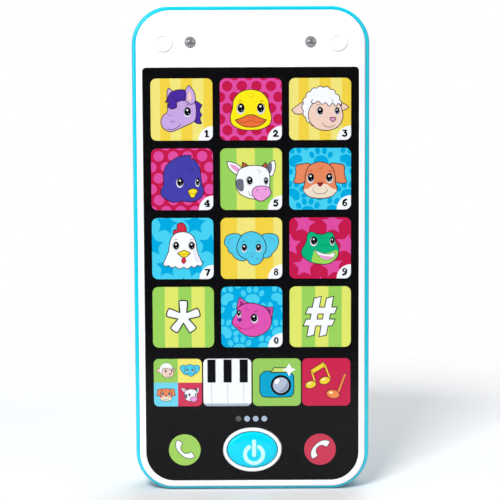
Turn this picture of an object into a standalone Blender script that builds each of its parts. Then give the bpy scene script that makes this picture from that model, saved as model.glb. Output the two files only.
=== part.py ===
"""A toddler's toy cell phone: a white front housing in a teal rear housing, a printed
keypad film over sprung key plates, an oval power button, two lamps, a speaker and a
battery compartment with a screwed door.

The phone stands upright on its bottom edge. +X is to the right seen from the front, +Z is
up, and the screen faces -Y. The origin is the centre of the bottom edge. Depths are given
as Y levels: they grow from the front of the phone to its back. All lengths are in metres.
"""

import math

import bmesh
import bpy
from mathutils import Matrix, Vector

MM = 0.001

# Driving dimensions of the body
WIDTH = 80 * MM
HEIGHT = 165 * MM
THICKNESS = 23 * MM
CORNER_RADIUS = 13 * MM
RIM_WIDTH = 1.4 * MM  # teal edge that shows round the white front
WALL = 2.0 * MM
GAP = 0.3 * MM  # clearance between pieces
CORNER_STEPS = 7

# Depth levels, front to back
FRONT = -THICKNESS / 2  # crown of the power button and tips of the lamps
BEZEL = FRONT + 1.0 * MM
FILM_TOP = BEZEL + 0.25 * MM
FILM_BACK = FILM_TOP + 0.4 * MM
RECESS = FILM_BACK + 0.15 * MM
KEY_TRAVEL = 0.5 * MM
POCKET = RECESS + KEY_TRAVEL  # the film dips this deep where its keys are
FRONT_WALL_BACK = BEZEL + WALL
LIP_FRONT = FRONT_WALL_BACK + GAP
LIP_BACK = LIP_FRONT + 0.8 * MM
STEM_TIP = LIP_BACK + 0.6 * MM
DOME_TOP = STEM_TIP + 0.2 * MM
MAT_FRONT = DOME_TOP + 1.0 * MM
MAT_BACK = MAT_FRONT + 0.6 * MM
BOARD_FRONT = MAT_BACK + GAP
BOARD_BACK = BOARD_FRONT + 1.2 * MM
RIM_FRONT = -9.2 * MM
SHOULDER = -6.0 * MM
SKIRT_BACK = -3.0 * MM
BACK = THICKNESS / 2
BACK_WALL = BACK - WALL
DOOR_BACK = BACK - 1.7 * MM  # inner face of the battery door

# Keypad film and the keys printed on it
FILM_WIDTH = 72.6 * MM
FILM_BOTTOM = 3.4 * MM
FILM_HEIGHT = 141.0 * MM
FILM_TOP_RADIUS = 1.2 * MM
FILM_BOTTOM_RADIUS = 9.6 * MM
KEY_PITCH_X = 23.3 * MM
KEY_PITCH_Z = 23.5 * MM
TOP_ROW_Z = 130.45 * MM
KEY_PLATE = 20.2 * MM
APP_PITCH = 16.9 * MM
APP_Z = 37.4 * MM
APP_PLATE = 14.4 * MM
CALL_X = 23.2 * MM
CALL_Z = 14.0 * MM
CALL_PLATE = 9.8 * MM
CALL_POCKET_RADIUS = 6.6 * MM
KEY_POCKET_HALF_WIDTH = 35.0 * MM
KEY_POCKET_BOTTOM = APP_Z - 9.4 * MM
KEY_POCKET_TOP = TOP_ROW_Z + 11.7 * MM
PLATE_RADIUS = 2.0 * MM
LIP_WIDTH = 0.7 * MM
STEM_WIDTH = 6.0 * MM
KEY_ROWS = (
    ("key_1", "key_2", "key_3"),
    ("key_4", "key_5", "key_6"),
    ("key_7", "key_8", "key_9"),
    ("key_star", "key_0", "key_hash"),
)
APP_KEYS = ("app_key_animals", "app_key_piano", "app_key_camera", "app_key_music")

# Power button: half axes of its ovals
BUTTON_A = 8.55 * MM
BUTTON_B = 6.2 * MM
COLLAR_CLEARANCE = 0.25 * MM
COLLAR_A = 10.0 * MM
COLLAR_B = 7.7 * MM
COLLAR_TOP = BEZEL - 0.5 * MM
BUTTON_EDGE = BEZEL - 0.15 * MM

# Lamps and moulded camera rings at the top of the front
LAMP_X = 20.2 * MM
RING_X = 29.3 * MM
FACE_ROW_Z = 152.9 * MM
LAMP_RADIUS = 1.95 * MM
RING_PROFILE = [
    (1.9 * MM, BEZEL - 0.7 * MM),
    (2.05 * MM, BEZEL - 0.45 * MM),
    (3.15 * MM, BEZEL - 0.45 * MM),
    (3.4 * MM, BEZEL - 0.25 * MM),
    (3.4 * MM, BEZEL + 1.0 * MM),
]

# Fasteners
CASE_SCREWS = [(x * 31.5 * MM, z * MM) for z in (8.5, 156.5) for x in (-1, 1)]
BOARD_SCREWS = [(-32.8 * MM, 24.3 * MM), (32.8 * MM, 24.3 * MM)]
BOARD_SCREWS += [(-14 * MM, 149.5 * MM), (14 * MM, 149.5 * MM)]
SCREW_RADIUS = 1.3 * MM
HOLE_RADIUS = SCREW_RADIUS + GAP
PILOT_RADIUS = 1.1 * MM
FRONT_POST_RADIUS = 2.7 * MM
REAR_POST_RADIUS = 3.6 * MM
BOARD_POST_RADIUS = 2.0 * MM
WELL_RADIUS = 2.7 * MM
CASE_HEAD_SEAT = 7.4 * MM

# Battery compartment, door and speaker, on the back
CELL_RADIUS = 5.25 * MM
CELL_LENGTH = 44.5 * MM
CELL_X = 5.55 * MM
CELL_Y = 3.85 * MM
BAY_HALF_WIDTH = 11.1 * MM
BAY_BOTTOM = 30 * MM
BAY_TOP = 81 * MM
BAY_FLOOR = -1.7 * MM
BAY_WALL = 1.2 * MM
DOOR_HALF_WIDTH = 14 * MM
DOOR_BOTTOM = 26 * MM
DOOR_TOP = 91 * MM
DOOR_SCREW_Z = 86.6 * MM
HINGE_Z = DOOR_BOTTOM - GAP / 2
TAB_X = 8 * MM
SPEAKER_Z = 118 * MM
SPEAKER_RADIUS = 18 * MM
SPEAKER_WALL = 1.5 * MM
GRILLE_HOLE_RADIUS = 1.2 * MM
GRILLE_RINGS = ((4.5 * MM, 6), (9.0 * MM, 10))  # radius and number of holes

COLOURS = {
    "white_plastic": ((0.93, 0.93, 0.94), 0.28, 0.0),
    "teal_plastic": ((0.0, 0.56, 0.68), 0.3, 0.0),
    "keypad_film": ((0.006, 0.006, 0.008), 0.12, 0.0),
    "key_plastic": ((0.75, 0.75, 0.76), 0.45, 0.0),
    "lamp_lens": ((0.22, 0.23, 0.24), 0.12, 0.0),
    "silicone": ((0.35, 0.36, 0.38), 0.6, 0.0),
    "circuit_board": ((0.02, 0.16, 0.06), 0.4, 0.0),
    "epoxy": ((0.01, 0.01, 0.012), 0.3, 0.0),
    "steel": ((0.62, 0.62, 0.63), 0.3, 1.0),
    "nickel_plate": ((0.7, 0.68, 0.62), 0.25, 1.0),
    "ferrite": ((0.06, 0.06, 0.065), 0.5, 0.3),
    "speaker_paper": ((0.04, 0.04, 0.045), 0.8, 0.0),
    "cell_sleeve": ((0.8, 0.32, 0.03), 0.35, 0.2),
    "red_wire": ((0.6, 0.02, 0.02), 0.4, 0.0),
    "black_wire": ((0.01, 0.01, 0.01), 0.4, 0.0),
}


def clear_scene():
    for obj in list(bpy.data.objects):
        bpy.data.objects.remove(obj, do_unlink=True)


def material(name):
    """The named material, made once from its colour, roughness and metallic value."""
    found = bpy.data.materials.get(name)
    if found:
        return found
    colour, roughness, metallic = COLOURS[name]
    made = bpy.data.materials.new(name)
    made.use_nodes = True
    shader = made.node_tree.nodes["Principled BSDF"]
    shader.inputs["Base Color"].default_value = (*colour, 1)
    shader.inputs["Roughness"].default_value = roughness
    shader.inputs["Metallic"].default_value = metallic
    return made


# Outlines: lists of (x, z), counter-clockwise seen from the front


def rounded_rect(width, height, radius, x=0, z=0, steps=CORNER_STEPS, bottom_radius=None):
    """A rectangle centred on (x, z) with round corners, each of the given steps."""
    bottom_radius = radius if bottom_radius is None else bottom_radius
    points = []
    for turn, (sx, sz) in enumerate(((1, 1), (-1, 1), (-1, -1), (1, -1))):
        r = radius if sz > 0 else bottom_radius
        corner = (x + sx * (width / 2 - r), z + sz * (height / 2 - r))
        for step in range(steps + 1):
            angle = math.radians(90) * (turn + step / steps)
            points.append((corner[0] + r * math.cos(angle), corner[1] + r * math.sin(angle)))
    return points


def oval(a, b, x=0, z=0, steps=28):
    return [
        (x + a * math.cos(2 * math.pi * i / steps), z + b * math.sin(2 * math.pi * i / steps))
        for i in range(steps)
    ]


def body_outline(inset):
    """The phone's outline seen from the front, moved inwards by inset."""
    return rounded_rect(
        WIDTH - 2 * inset, HEIGHT - 2 * inset, CORNER_RADIUS - inset, z=HEIGHT / 2
    )


def film_outline(grow=0.0):
    return rounded_rect(
        FILM_WIDTH + 2 * grow,
        FILM_HEIGHT + 2 * grow,
        FILM_TOP_RADIUS + grow,
        z=FILM_BOTTOM + FILM_HEIGHT / 2,
        steps=6,
        bottom_radius=FILM_BOTTOM_RADIUS + grow,
    )


# Rings: closed loops of points in space


def at_depth(outline, y):
    return [Vector((x, y, z)) for x, z in outline]


def turned_rings(profile, x, z, steps):
    """Rings round a front-to-back axis, from a profile of (radius, y)."""
    return [at_depth(oval(r, r, x, z, steps), y) for r, y in profile]


def upright_rings(profile, x, y, steps):
    """Rings round a vertical axis, from a profile of (radius, z)."""
    rings = []
    for r, z in profile:
        ring = [Vector((x + px, y + py, z)) for px, py in oval(r, r, steps=steps)]
        rings.append(ring)
    return rings


# Meshes and objects


def add_loft(bm, rings, closed=False):
    """Skins a run of rings. It caps the two ends, unless the last ring joins the first."""
    loops = [[bm.verts.new(point) for point in ring] for ring in rings]
    count = len(loops[0])
    pairs = list(zip(loops, loops[1:]))
    if closed:
        pairs.append((loops[-1], loops[0]))
    faces = []
    for first, second in pairs:
        for i in range(count):
            j = (i + 1) % count
            faces.append(bm.faces.new((first[i], first[j], second[j], second[i])))
    if not closed:
        faces.append(bm.faces.new(loops[0]))
        faces.append(bm.faces.new(loops[-1]))
    bmesh.ops.recalc_face_normals(bm, faces=faces)


def new_object(name, bm, material_name=None, origin=(0, 0, 0)):
    """An object from a bmesh in world coordinates, with its own origin where asked."""
    mesh = bpy.data.meshes.new(name)
    bm.to_mesh(mesh)
    bm.free()
    mesh.transform(Matrix.Translation(-Vector(origin)))
    mesh.shade_smooth()
    mesh.set_sharp_from_angle(angle=math.radians(32))
    obj = bpy.data.objects.new(name, mesh)
    obj.location = origin
    bpy.context.collection.objects.link(obj)
    if material_name:
        mesh.materials.append(material(material_name))
    return obj


def loft(name, rings, material_name, origin=(0, 0, 0), closed=False):
    bm = bmesh.new()
    add_loft(bm, rings, closed)
    return new_object(name, bm, material_name, origin)


def helper(name, solids):
    """A hidden object for a Boolean, made of separate lofts that don't touch."""
    bm = bmesh.new()
    for rings in solids:
        add_loft(bm, rings)
    obj = new_object(name, bm)
    obj.hide_render = True
    obj.display_type = "WIRE"
    return obj


def prism(outline, y0, y1):
    return [at_depth(outline, y0), at_depth(outline, y1)]


def box(x0, x1, y0, y1, z0, z1):
    return prism([(x0, z0), (x1, z0), (x1, z1), (x0, z1)], y0, y1)


def cylinder(radius, x, z, y0, y1, steps=12):
    return prism(oval(radius, radius, x, z, steps), y0, y1)


def apply_boolean(obj, operation, solids):
    """Cuts or joins a group of simple solids."""
    modifier = obj.modifiers.new(operation.lower(), "BOOLEAN")
    modifier.operation = operation
    modifier.object = helper(f"{obj.name}_{operation.lower()}_{len(obj.modifiers)}", solids)


def smooth_route(points, count):
    """Evenly many points on a smooth curve through a few hand-placed ones (Catmull-Rom)."""
    points = [Vector(p) for p in points]
    padded = [2 * points[0] - points[1], *points, 2 * points[-1] - points[-2]]
    route = []
    for i in range(count):
        place = i * (len(points) - 1) / (count - 1)
        span = min(int(place), len(points) - 2)
        t = place - span
        a, b, c, d = padded[span : span + 4]
        route.append(
            0.5
            * (
                2 * b
                + (c - a) * t
                + (2 * a - 5 * b + 4 * c - d) * t**2
                + (3 * b - a - 3 * c + d) * t**3
            )
        )
    return route


def tube(name, route, radius, material_name, resolution=1):
    """A round wire along a route, as a curve with filled caps."""
    curve = bpy.data.curves.new(name, "CURVE")
    curve.dimensions = "3D"
    curve.bevel_depth = radius
    curve.bevel_resolution = resolution
    curve.use_fill_caps = True
    spline = curve.splines.new("POLY")
    spline.points.add(len(route) - 1)
    for point, place in zip(spline.points, route):
        point.co = (*place, 1)
    curve.materials.append(material(material_name))
    obj = bpy.data.objects.new(name, curve)
    bpy.context.collection.objects.link(obj)
    return obj


# Where the keys are


def key_places():
    """Each key's name, centre and plate size: (name, x, z, size, corner radius)."""
    places = []
    for row, names in enumerate(KEY_ROWS):
        for column, name in enumerate(names):
            x = (column - 1) * KEY_PITCH_X
            z = TOP_ROW_Z - row * KEY_PITCH_Z
            places.append((name, x, z, KEY_PLATE, PLATE_RADIUS))
    for column, name in enumerate(APP_KEYS):
        x = (column - 1.5) * APP_PITCH
        places.append((name, x, APP_Z, APP_PLATE, PLATE_RADIUS))
    places.append(("call_key", -CALL_X, CALL_Z, CALL_PLATE, CALL_PLATE / 2))
    places.append(("hang_up_key", CALL_X, CALL_Z, CALL_PLATE, CALL_PLATE / 2))
    return places


def plate_outline(x, z, size, radius, grow=0.0):
    """A key plate's outline. A round key is a rounded square with nothing straight left."""
    radius = min(radius + max(grow, 0), size / 2 + grow - 0.01 * MM)
    steps = 2 if radius < size * 0.4 else 4
    return rounded_rect(size + 2 * grow, size + 2 * grow, radius, x, z, steps)


# Sub-parts


def make_front_housing():
    """The white front: a bezel and wall with a skirt that drops inside the rear housing."""
    profile = [
        (3.2, BEZEL),
        (2.6, BEZEL),
        (1.95, BEZEL + 0.14 * MM),
        (1.5, BEZEL + 0.5 * MM),
        (RIM_WIDTH / MM, BEZEL + 1.1 * MM),
        (RIM_WIDTH / MM, SHOULDER),
        (2.3, SHOULDER),
        (2.3, SKIRT_BACK),
        (3.6, SKIRT_BACK),
        (3.6, FRONT_WALL_BACK),
    ]
    rings = [at_depth(body_outline(inset * MM), y) for inset, y in profile]
    housing = loft("front_housing", rings, "white_plastic")
    overlap = 0.5 * MM
    joined = [prism(oval(COLLAR_A, COLLAR_B, z=CALL_Z), COLLAR_TOP, RECESS + overlap)]
    for x, z in CASE_SCREWS:
        joined.append(cylinder(FRONT_POST_RADIUS, x, z, FRONT_WALL_BACK - overlap, -2.7 * MM))
    for x, z in BOARD_SCREWS:
        ends = (FRONT_WALL_BACK - overlap, BOARD_FRONT - GAP)
        joined.append(cylinder(BOARD_POST_RADIUS, x, z, *ends, 8))
    for side in (-1, 1):
        joined.append(turned_rings(RING_PROFILE, side * RING_X, FACE_ROW_Z, 16))
    pocket = rounded_rect(
        2 * KEY_POCKET_HALF_WIDTH,
        KEY_POCKET_TOP - KEY_POCKET_BOTTOM,
        PLATE_RADIUS,
        z=(KEY_POCKET_BOTTOM + KEY_POCKET_TOP) / 2,
        steps=2,
    )
    pockets = [prism(pocket, FRONT, POCKET)]
    for side in (-1, 1):
        pockets.append(
            cylinder(CALL_POCKET_RADIUS, side * CALL_X, CALL_Z, FRONT, POCKET, 20)
        )
    apply_boolean(housing, "DIFFERENCE", [prism(film_outline(0.15 * MM), FRONT, RECESS)])
    apply_boolean(housing, "DIFFERENCE", pockets)
    apply_boolean(housing, "UNION", joined)
    cuts = [
        prism(plate_outline(x, z, size, radius, GAP), FRONT, FRONT_WALL_BACK + overlap)
        for _, x, z, size, radius in key_places()
    ]
    a, b = BUTTON_A + COLLAR_CLEARANCE, BUTTON_B + COLLAR_CLEARANCE
    cuts.append(prism(oval(a, b, z=CALL_Z), FRONT - overlap, FRONT_WALL_BACK + overlap))
    for x, z in CASE_SCREWS:
        cuts.append(cylinder(HOLE_RADIUS, x, z, -7.2 * MM, -2.0 * MM, 8))
    for x, z in BOARD_SCREWS:
        cuts.append(cylinder(PILOT_RADIUS, x, z, -7.6 * MM, BOARD_BACK, 8))
    for side in (-1, 1):
        lamp_hole = LAMP_RADIUS + 0.2 * MM
        cuts.append(
            cylinder(lamp_hole, side * LAMP_X, FACE_ROW_Z, FRONT, FRONT_WALL_BACK + overlap)
        )
    apply_boolean(housing, "DIFFERENCE", cuts)


def make_rear_housing():
    """The teal tub with the battery bay, screw posts, speaker seat and grille."""
    back_round, inner_round = 5.0, 3.5
    quarter = [math.radians(90) * i / 4 for i in range(5)]
    inner = [
        (2.0 + inner_round * (1 - math.cos(a)), (6.0 + inner_round * math.sin(a)) * MM)
        for a in reversed(quarter)
    ]
    rim = [
        (2.0, SHOULDER + 0.2 * MM),
        (RIM_WIDTH / MM - 0.2, SHOULDER + 0.2 * MM),
        (RIM_WIDTH / MM - 0.2, RIM_FRONT + 0.15 * MM),
        (RIM_WIDTH / MM - 0.35, RIM_FRONT),
        (0.4, RIM_FRONT),
        (0.1, RIM_FRONT + 0.12 * MM),
        (0.0, RIM_FRONT + 0.45 * MM),
    ]
    outer = [
        (back_round * (1 - math.cos(a)), BACK - (1 - math.sin(a)) * back_round * MM)
        for a in quarter
    ]
    rings = [at_depth(body_outline(inset * MM), y) for inset, y in inner + rim + outer]
    housing = loft("rear_housing", rings, "teal_plastic")

    overlap = 0.1 * MM
    bed_margin = 1.5 * MM
    bay_x = BAY_HALF_WIDTH + BAY_WALL
    door_x = DOOR_HALF_WIDTH + bed_margin
    bay = (BAY_BOTTOM - BAY_WALL, BAY_TOP + BAY_WALL)
    apply_boolean(
        housing,
        "UNION",
        [box(-bay_x, bay_x, BAY_FLOOR - BAY_WALL, BACK_WALL + overlap, *bay)],
    )
    bed = (DOOR_BOTTOM - bed_margin, DOOR_TOP + bed_margin)
    apply_boolean(
        housing,
        "UNION",
        [box(-door_x, door_x, BACK_WALL - 1.6 * MM, BACK_WALL + overlap, *bed)],
    )
    ends = (-2.4 * MM, BACK_WALL + overlap)
    posts = [cylinder(REAR_POST_RADIUS, x, z, *ends) for x, z in CASE_SCREWS]
    posts.append(cylinder(4.3 * MM, 0, DOOR_SCREW_Z, 2.5 * MM, 8.0 * MM))
    seat = SPEAKER_RADIUS + GAP
    ends = (5.5 * MM, BACK_WALL + overlap)
    posts.append(cylinder(seat + SPEAKER_WALL, 0, SPEAKER_Z, *ends, 24))
    apply_boolean(housing, "UNION", posts)

    cuts = [cylinder(seat, 0, SPEAKER_Z, 5.0 * MM, BACK_WALL, 24)]
    cuts.append(box(-BAY_HALF_WIDTH, BAY_HALF_WIDTH, BAY_FLOOR, BACK, BAY_BOTTOM, BAY_TOP))
    for x, z in CASE_SCREWS:
        well = [(WELL_RADIUS, BACK + GAP), (WELL_RADIUS, CASE_HEAD_SEAT)]
        well += [(HOLE_RADIUS, CASE_HEAD_SEAT), (HOLE_RADIUS, -3.0 * MM)]
        cuts.append(turned_rings(well, x, z, 12))
    apply_boolean(housing, "DIFFERENCE", cuts)

    door_gap = rounded_rect(
        2 * (DOOR_HALF_WIDTH + GAP),
        DOOR_TOP - DOOR_BOTTOM + 2 * GAP,
        3 * MM + GAP,
        z=(DOOR_BOTTOM + DOOR_TOP) / 2,
        steps=4,
    )
    apply_boolean(housing, "DIFFERENCE", [prism(door_gap, BACK_WALL, BACK + GAP)])
    holes = [(0.0, 0.0)]
    for radius, count in GRILLE_RINGS:
        for i in range(count):
            angle = 2 * math.pi * (i + 0.5) / count
            holes.append((radius * math.cos(angle), radius * math.sin(angle)))
    cuts = [
        cylinder(GRILLE_HOLE_RADIUS, x, SPEAKER_Z + z, BACK_WALL - GAP, BACK + GAP, 8)
        for x, z in holes
    ]
    boss_hole = [(4.0 * MM, BACK_WALL + overlap), (4.0 * MM, 7.9 * MM)]
    boss_hole += [(HOLE_RADIUS, 7.9 * MM), (HOLE_RADIUS, 4.0 * MM)]
    cuts.append(turned_rings(boss_hole, 0, DOOR_SCREW_Z, 12))
    for side in (-1, 1):
        slot = (side * TAB_X - 3.1 * MM, side * TAB_X + 3.1 * MM)
        cuts.append(box(*slot, 7.0 * MM, BACK_WALL, BAY_BOTTOM - 7.1 * MM, BAY_BOTTOM + GAP))
    apply_boolean(housing, "DIFFERENCE", cuts)


def make_keypad_film():
    """One sheet with the keys printed on it, glued in the front's recess."""
    film = loft("keypad_film", prism(film_outline(), FILM_TOP, FILM_BACK), "keypad_film")
    a, b = COLLAR_A + 0.2 * MM, COLLAR_B + 0.2 * MM
    apply_boolean(film, "DIFFERENCE", [prism(oval(a, b, z=CALL_Z), FRONT, RECESS)])


def make_key(name, x, z, size, radius):
    """A key plate under the film: a face, a lip that stops it behind the front wall, a stem."""
    face = plate_outline(x, z, size, radius)
    lip = plate_outline(x, z, size, radius, LIP_WIDTH)
    steps = (len(face) // 4) - 1
    stem = rounded_rect(STEM_WIDTH, STEM_WIDTH, STEM_WIDTH * 0.49, x, z, steps)
    rings = [
        at_depth(face, RECESS),
        at_depth(face, LIP_FRONT),
        at_depth(lip, LIP_FRONT),
        at_depth(lip, LIP_BACK),
        at_depth(stem, LIP_BACK),
        at_depth(stem, STEM_TIP),
    ]
    loft(name, rings, "key_plastic", origin=(x, RECESS, z))


def make_power_button():
    """The oval button: a low crown, a straight side in the collar, a lip and a stem."""
    levels = [
        (0.35, FRONT + 0.1 * MM),
        (0.7, FRONT + 0.2 * MM),
        (0.9, FRONT + 0.45 * MM),
        (1.0, BUTTON_EDGE + 0.2 * MM),
        (1.0, LIP_FRONT),
    ]
    rings = [at_depth(oval(BUTTON_A * s, BUTTON_B * s, z=CALL_Z), y) for s, y in levels]
    lip = oval(BUTTON_A + LIP_WIDTH + GAP, BUTTON_B + LIP_WIDTH + GAP, z=CALL_Z)
    stem = oval(STEM_WIDTH / 2, STEM_WIDTH / 2, z=CALL_Z)
    rings += prism(lip, LIP_FRONT, LIP_BACK)
    rings += prism(stem, LIP_BACK, STEM_TIP)
    loft("power_button", rings, "teal_plastic", origin=(0, FRONT, CALL_Z))


def make_lamp(name, x):
    """A lamp with a domed lens, a base flange and two leads to the board."""
    profile = []
    for step in range(5):
        angle = math.radians(15 + 75 * step / 4)
        radius = LAMP_RADIUS * math.sin(angle)
        profile.append((radius, FRONT + LAMP_RADIUS * (1 - math.cos(angle))))
    profile[0] = (profile[0][0], FRONT)
    profile += [(LAMP_RADIUS, LIP_FRONT), (2.45 * MM, LIP_FRONT), (2.45 * MM, LIP_BACK)]
    lamp = loft(name, turned_rings(profile, x, FACE_ROW_Z, 12), "lamp_lens")
    half = 0.25 * MM
    leads = []
    for side in (-1, 1):
        lead_x = x + side * 1.27 * MM
        ends = (FACE_ROW_Z - half, FACE_ROW_Z + half)
        leads.append(
            box(lead_x - half, lead_x + half, LIP_BACK - half, BOARD_FRONT - GAP, *ends)
        )
    apply_boolean(lamp, "UNION", leads)


def make_dome_mat():
    """The silicone sheet with a hollow dome under each key and the button."""
    outline = rounded_rect(
        69 * MM, 137 * MM, 2 * MM, z=73.5 * MM, steps=4, bottom_radius=8 * MM
    )
    mat = loft("dome_mat", prism(outline, MAT_FRONT, MAT_BACK), "silicone")
    places = [(x, z) for _, x, z, _, _ in key_places()] + [(0, CALL_Z)]
    dome = [(2.2, DOME_TOP), (3.2, MAT_FRONT), (3.2, MAT_FRONT + 0.2 * MM)]
    pit = [(1.5, DOME_TOP + 0.5 * MM), (2.5, MAT_FRONT), (2.5, MAT_BACK + GAP)]
    domes = [turned_rings([(r * MM, y) for r, y in dome], x, z, 8) for x, z in places]
    pits = [turned_rings([(r * MM, y) for r, y in pit], x, z, 8) for x, z in places]
    apply_boolean(mat, "UNION", domes)
    low_posts = CASE_SCREWS[:2] + BOARD_SCREWS[:2]
    pits += [
        cylinder(radius * MM, x, z, DOME_TOP, BOARD_FRONT)
        for (x, z), radius in zip(low_posts, (3.4, 3.4, 2.4, 2.4))
    ]
    apply_boolean(mat, "DIFFERENCE", pits)


def make_board():
    """The circuit board, notched round the case posts, and what is soldered to its back."""
    outline = rounded_rect(70 * MM, 150 * MM, 1.5 * MM, z=82 * MM, steps=3)
    board = loft("circuit_board", prism(outline, BOARD_FRONT, BOARD_BACK), "circuit_board")
    cuts = [cylinder(4.2 * MM, x, z, MAT_BACK, SKIRT_BACK) for x, z in CASE_SCREWS]
    cuts += [cylinder(PILOT_RADIUS, x, z, MAT_BACK, SKIRT_BACK, 8) for x, z in BOARD_SCREWS]
    apply_boolean(board, "DIFFERENCE", cuts)

    chip_face = BOARD_BACK + 0.2 * MM
    blob = [(6.8 * MM, chip_face), (6.6 * MM, chip_face + 0.5 * MM)]
    blob += [(5.2 * MM, chip_face + 1.2 * MM), (2.5 * MM, chip_face + 1.6 * MM)]
    loft("chip_blob", turned_rings(blob, -23 * MM, 98 * MM, 12), "epoxy")
    can = [(2.3 * MM, chip_face), (2.5 * MM, chip_face + 0.3 * MM)]
    can += [(2.5 * MM, chip_face + 5.2 * MM), (2.2 * MM, chip_face + 5.5 * MM)]
    loft("capacitor", turned_rings(can, 22 * MM, 98 * MM, 12), "epoxy")


def make_screw(name, x, z, head_back, head, shank):
    """A pan-head screw driven from the back: head and shank are (radius, length)."""
    head_front = head_back - head[1]
    profile = [
        (head[0] * 0.75, head_back),
        (head[0], head_back - head[1] * 0.45),
        (head[0], head_front),
        (shank[0], head_front),
        (shank[0], head_front - shank[1] + shank[0]),
        (shank[0] * 0.4, head_front - shank[1]),
    ]
    rings = turned_rings(profile, x, z, 10)
    screw = loft(name, rings, "steel", origin=(x, head_back, z))
    arm, half = head[0] * 0.55, head[0] * 0.12
    depth = (head_back - head[1] * 0.55, head_back + GAP)
    apply_boolean(screw, "DIFFERENCE", [box(x - arm, x + arm, *depth, z - half, z + half)])
    apply_boolean(screw, "DIFFERENCE", [box(x - half, x + half, *depth, z - arm, z + arm)])
    return screw


def make_screws():
    case_head, case_shank = (2.35 * MM, 1.6 * MM), (SCREW_RADIUS, 11.5 * MM)
    head_back = CASE_HEAD_SEAT + GAP + case_head[1]
    for number, (x, z) in enumerate(CASE_SCREWS, 1):
        make_screw(f"case_screw_{number}", x, z, head_back, case_head, case_shank)
    board_head, board_shank = (1.8 * MM, 1.0 * MM), (0.75 * MM, 3.9 * MM)
    head_back = BOARD_BACK + 0.2 * MM + board_head[1]
    for number, (x, z) in enumerate(BOARD_SCREWS, 1):
        make_screw(f"board_screw_{number}", x, z, head_back, board_head, board_shank)


def make_speaker():
    """A small paper-cone speaker that faces the grille."""
    basket = [(18.0, 9.2), (18.0, 8.0), (16.2, 8.0), (10.8, 3.5), (10.8, 2.8)]
    basket += [(4.0, 2.8), (4.0, 3.7), (10.2, 3.7), (15.4, 8.3), (15.4, 9.2)]
    rings = turned_rings([(r * MM, y * MM) for r, y in basket], 0, SPEAKER_Z, 24)
    loft("speaker_frame", rings, "steel", closed=True)
    cone = [(15.1, 9.0), (14.2, 9.2), (13.3, 8.9), (5.0, 6.2), (2.0, 6.6)]
    cone += [(2.0, 6.2), (5.0, 5.7), (13.6, 8.5), (15.1, 8.6)]
    rings = turned_rings([(r * MM, y * MM) for r, y in cone[:5]], 0, SPEAKER_Z, 20)
    under = turned_rings([(r * MM, y * MM) for r, y in cone[5:]], 0, SPEAKER_Z, 20)
    bm = bmesh.new()
    # From the middle of the back, out to the rim and in to the middle of the front.
    add_loft(bm, under + rings)
    new_object("speaker_cone", bm, "speaker_paper")
    magnet = [(8.6, -0.5), (9.0, -0.2), (9.0, 2.3), (8.6, 2.5)]
    rings = turned_rings([(r * MM, y * MM) for r, y in magnet], 0, SPEAKER_Z, 20)
    loft("speaker_magnet", rings, "ferrite")


def make_cell(name, x, low, nub_up):
    """A small round dry cell standing on end, its nub at one end."""
    body = CELL_LENGTH - 0.8 * MM
    profile = [(4.9 * MM, 0), (CELL_RADIUS, 0.4 * MM), (CELL_RADIUS, body - 0.4 * MM)]
    profile += [(4.9 * MM, body), (1.9 * MM, body), (1.9 * MM, CELL_LENGTH)]
    if nub_up:
        profile = [(r, low + z) for r, z in profile]
    else:
        profile = [(r, low + CELL_LENGTH - z) for r, z in reversed(profile)]
    rings = upright_rings(profile, x, CELL_Y, 16)
    loft(name, rings, "cell_sleeve", origin=(x, CELL_Y, low))


def make_battery_spring(name, x, low, high, wide_end_low):
    """A conical contact spring, wide at its plate and narrow at the cell."""
    turns, wire, steps = 3, 0.35 * MM, 27
    route = []
    for i in range(steps):
        share = i / (steps - 1)
        narrowing = share if wide_end_low else 1 - share
        radius = (3.8 - 1.5 * narrowing) * MM
        angle = 2 * math.pi * turns * share
        z = low + wire + (high - low - 2 * wire) * share
        route.append((x + radius * math.cos(angle), CELL_Y + radius * math.sin(angle), z))
    tube(name, route, wire, "nickel_plate")


def make_batteries():
    """Two cells head to tail, with their springs and contact plates."""
    plate = 0.4 * MM
    link_z = BAY_BOTTOM + 0.2 * MM
    end_z = BAY_TOP - 0.2 * MM
    spring = 4.2 * MM
    low_cell = link_z + plate + GAP + spring + GAP
    make_cell("battery_left", -CELL_X, low_cell, nub_up=True)
    make_cell("battery_right", CELL_X, link_z + plate + GAP, nub_up=False)
    make_battery_spring(
        "battery_spring_left", -CELL_X, link_z + plate + 0.2 * MM, low_cell - 0.2 * MM, True
    )
    right_top = link_z + plate + GAP + CELL_LENGTH
    make_battery_spring(
        "battery_spring_right", CELL_X, right_top + 0.2 * MM, end_z - plate - 0.2 * MM, False
    )
    y0, y1 = BAY_FLOOR + GAP, 8.2 * MM
    half = 4.6 * MM
    plates = (
        ("battery_link_plate", -CELL_X - half, CELL_X + half, link_z),
        ("battery_plate_positive", -CELL_X - half, -CELL_X + half, end_z - plate),
        ("battery_plate_negative", CELL_X - half, CELL_X + half, end_z - plate),
    )
    for name, x0, x1, z in plates:
        loft(name, box(x0, x1, y0, y1, z, z + plate), "nickel_plate")


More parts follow.
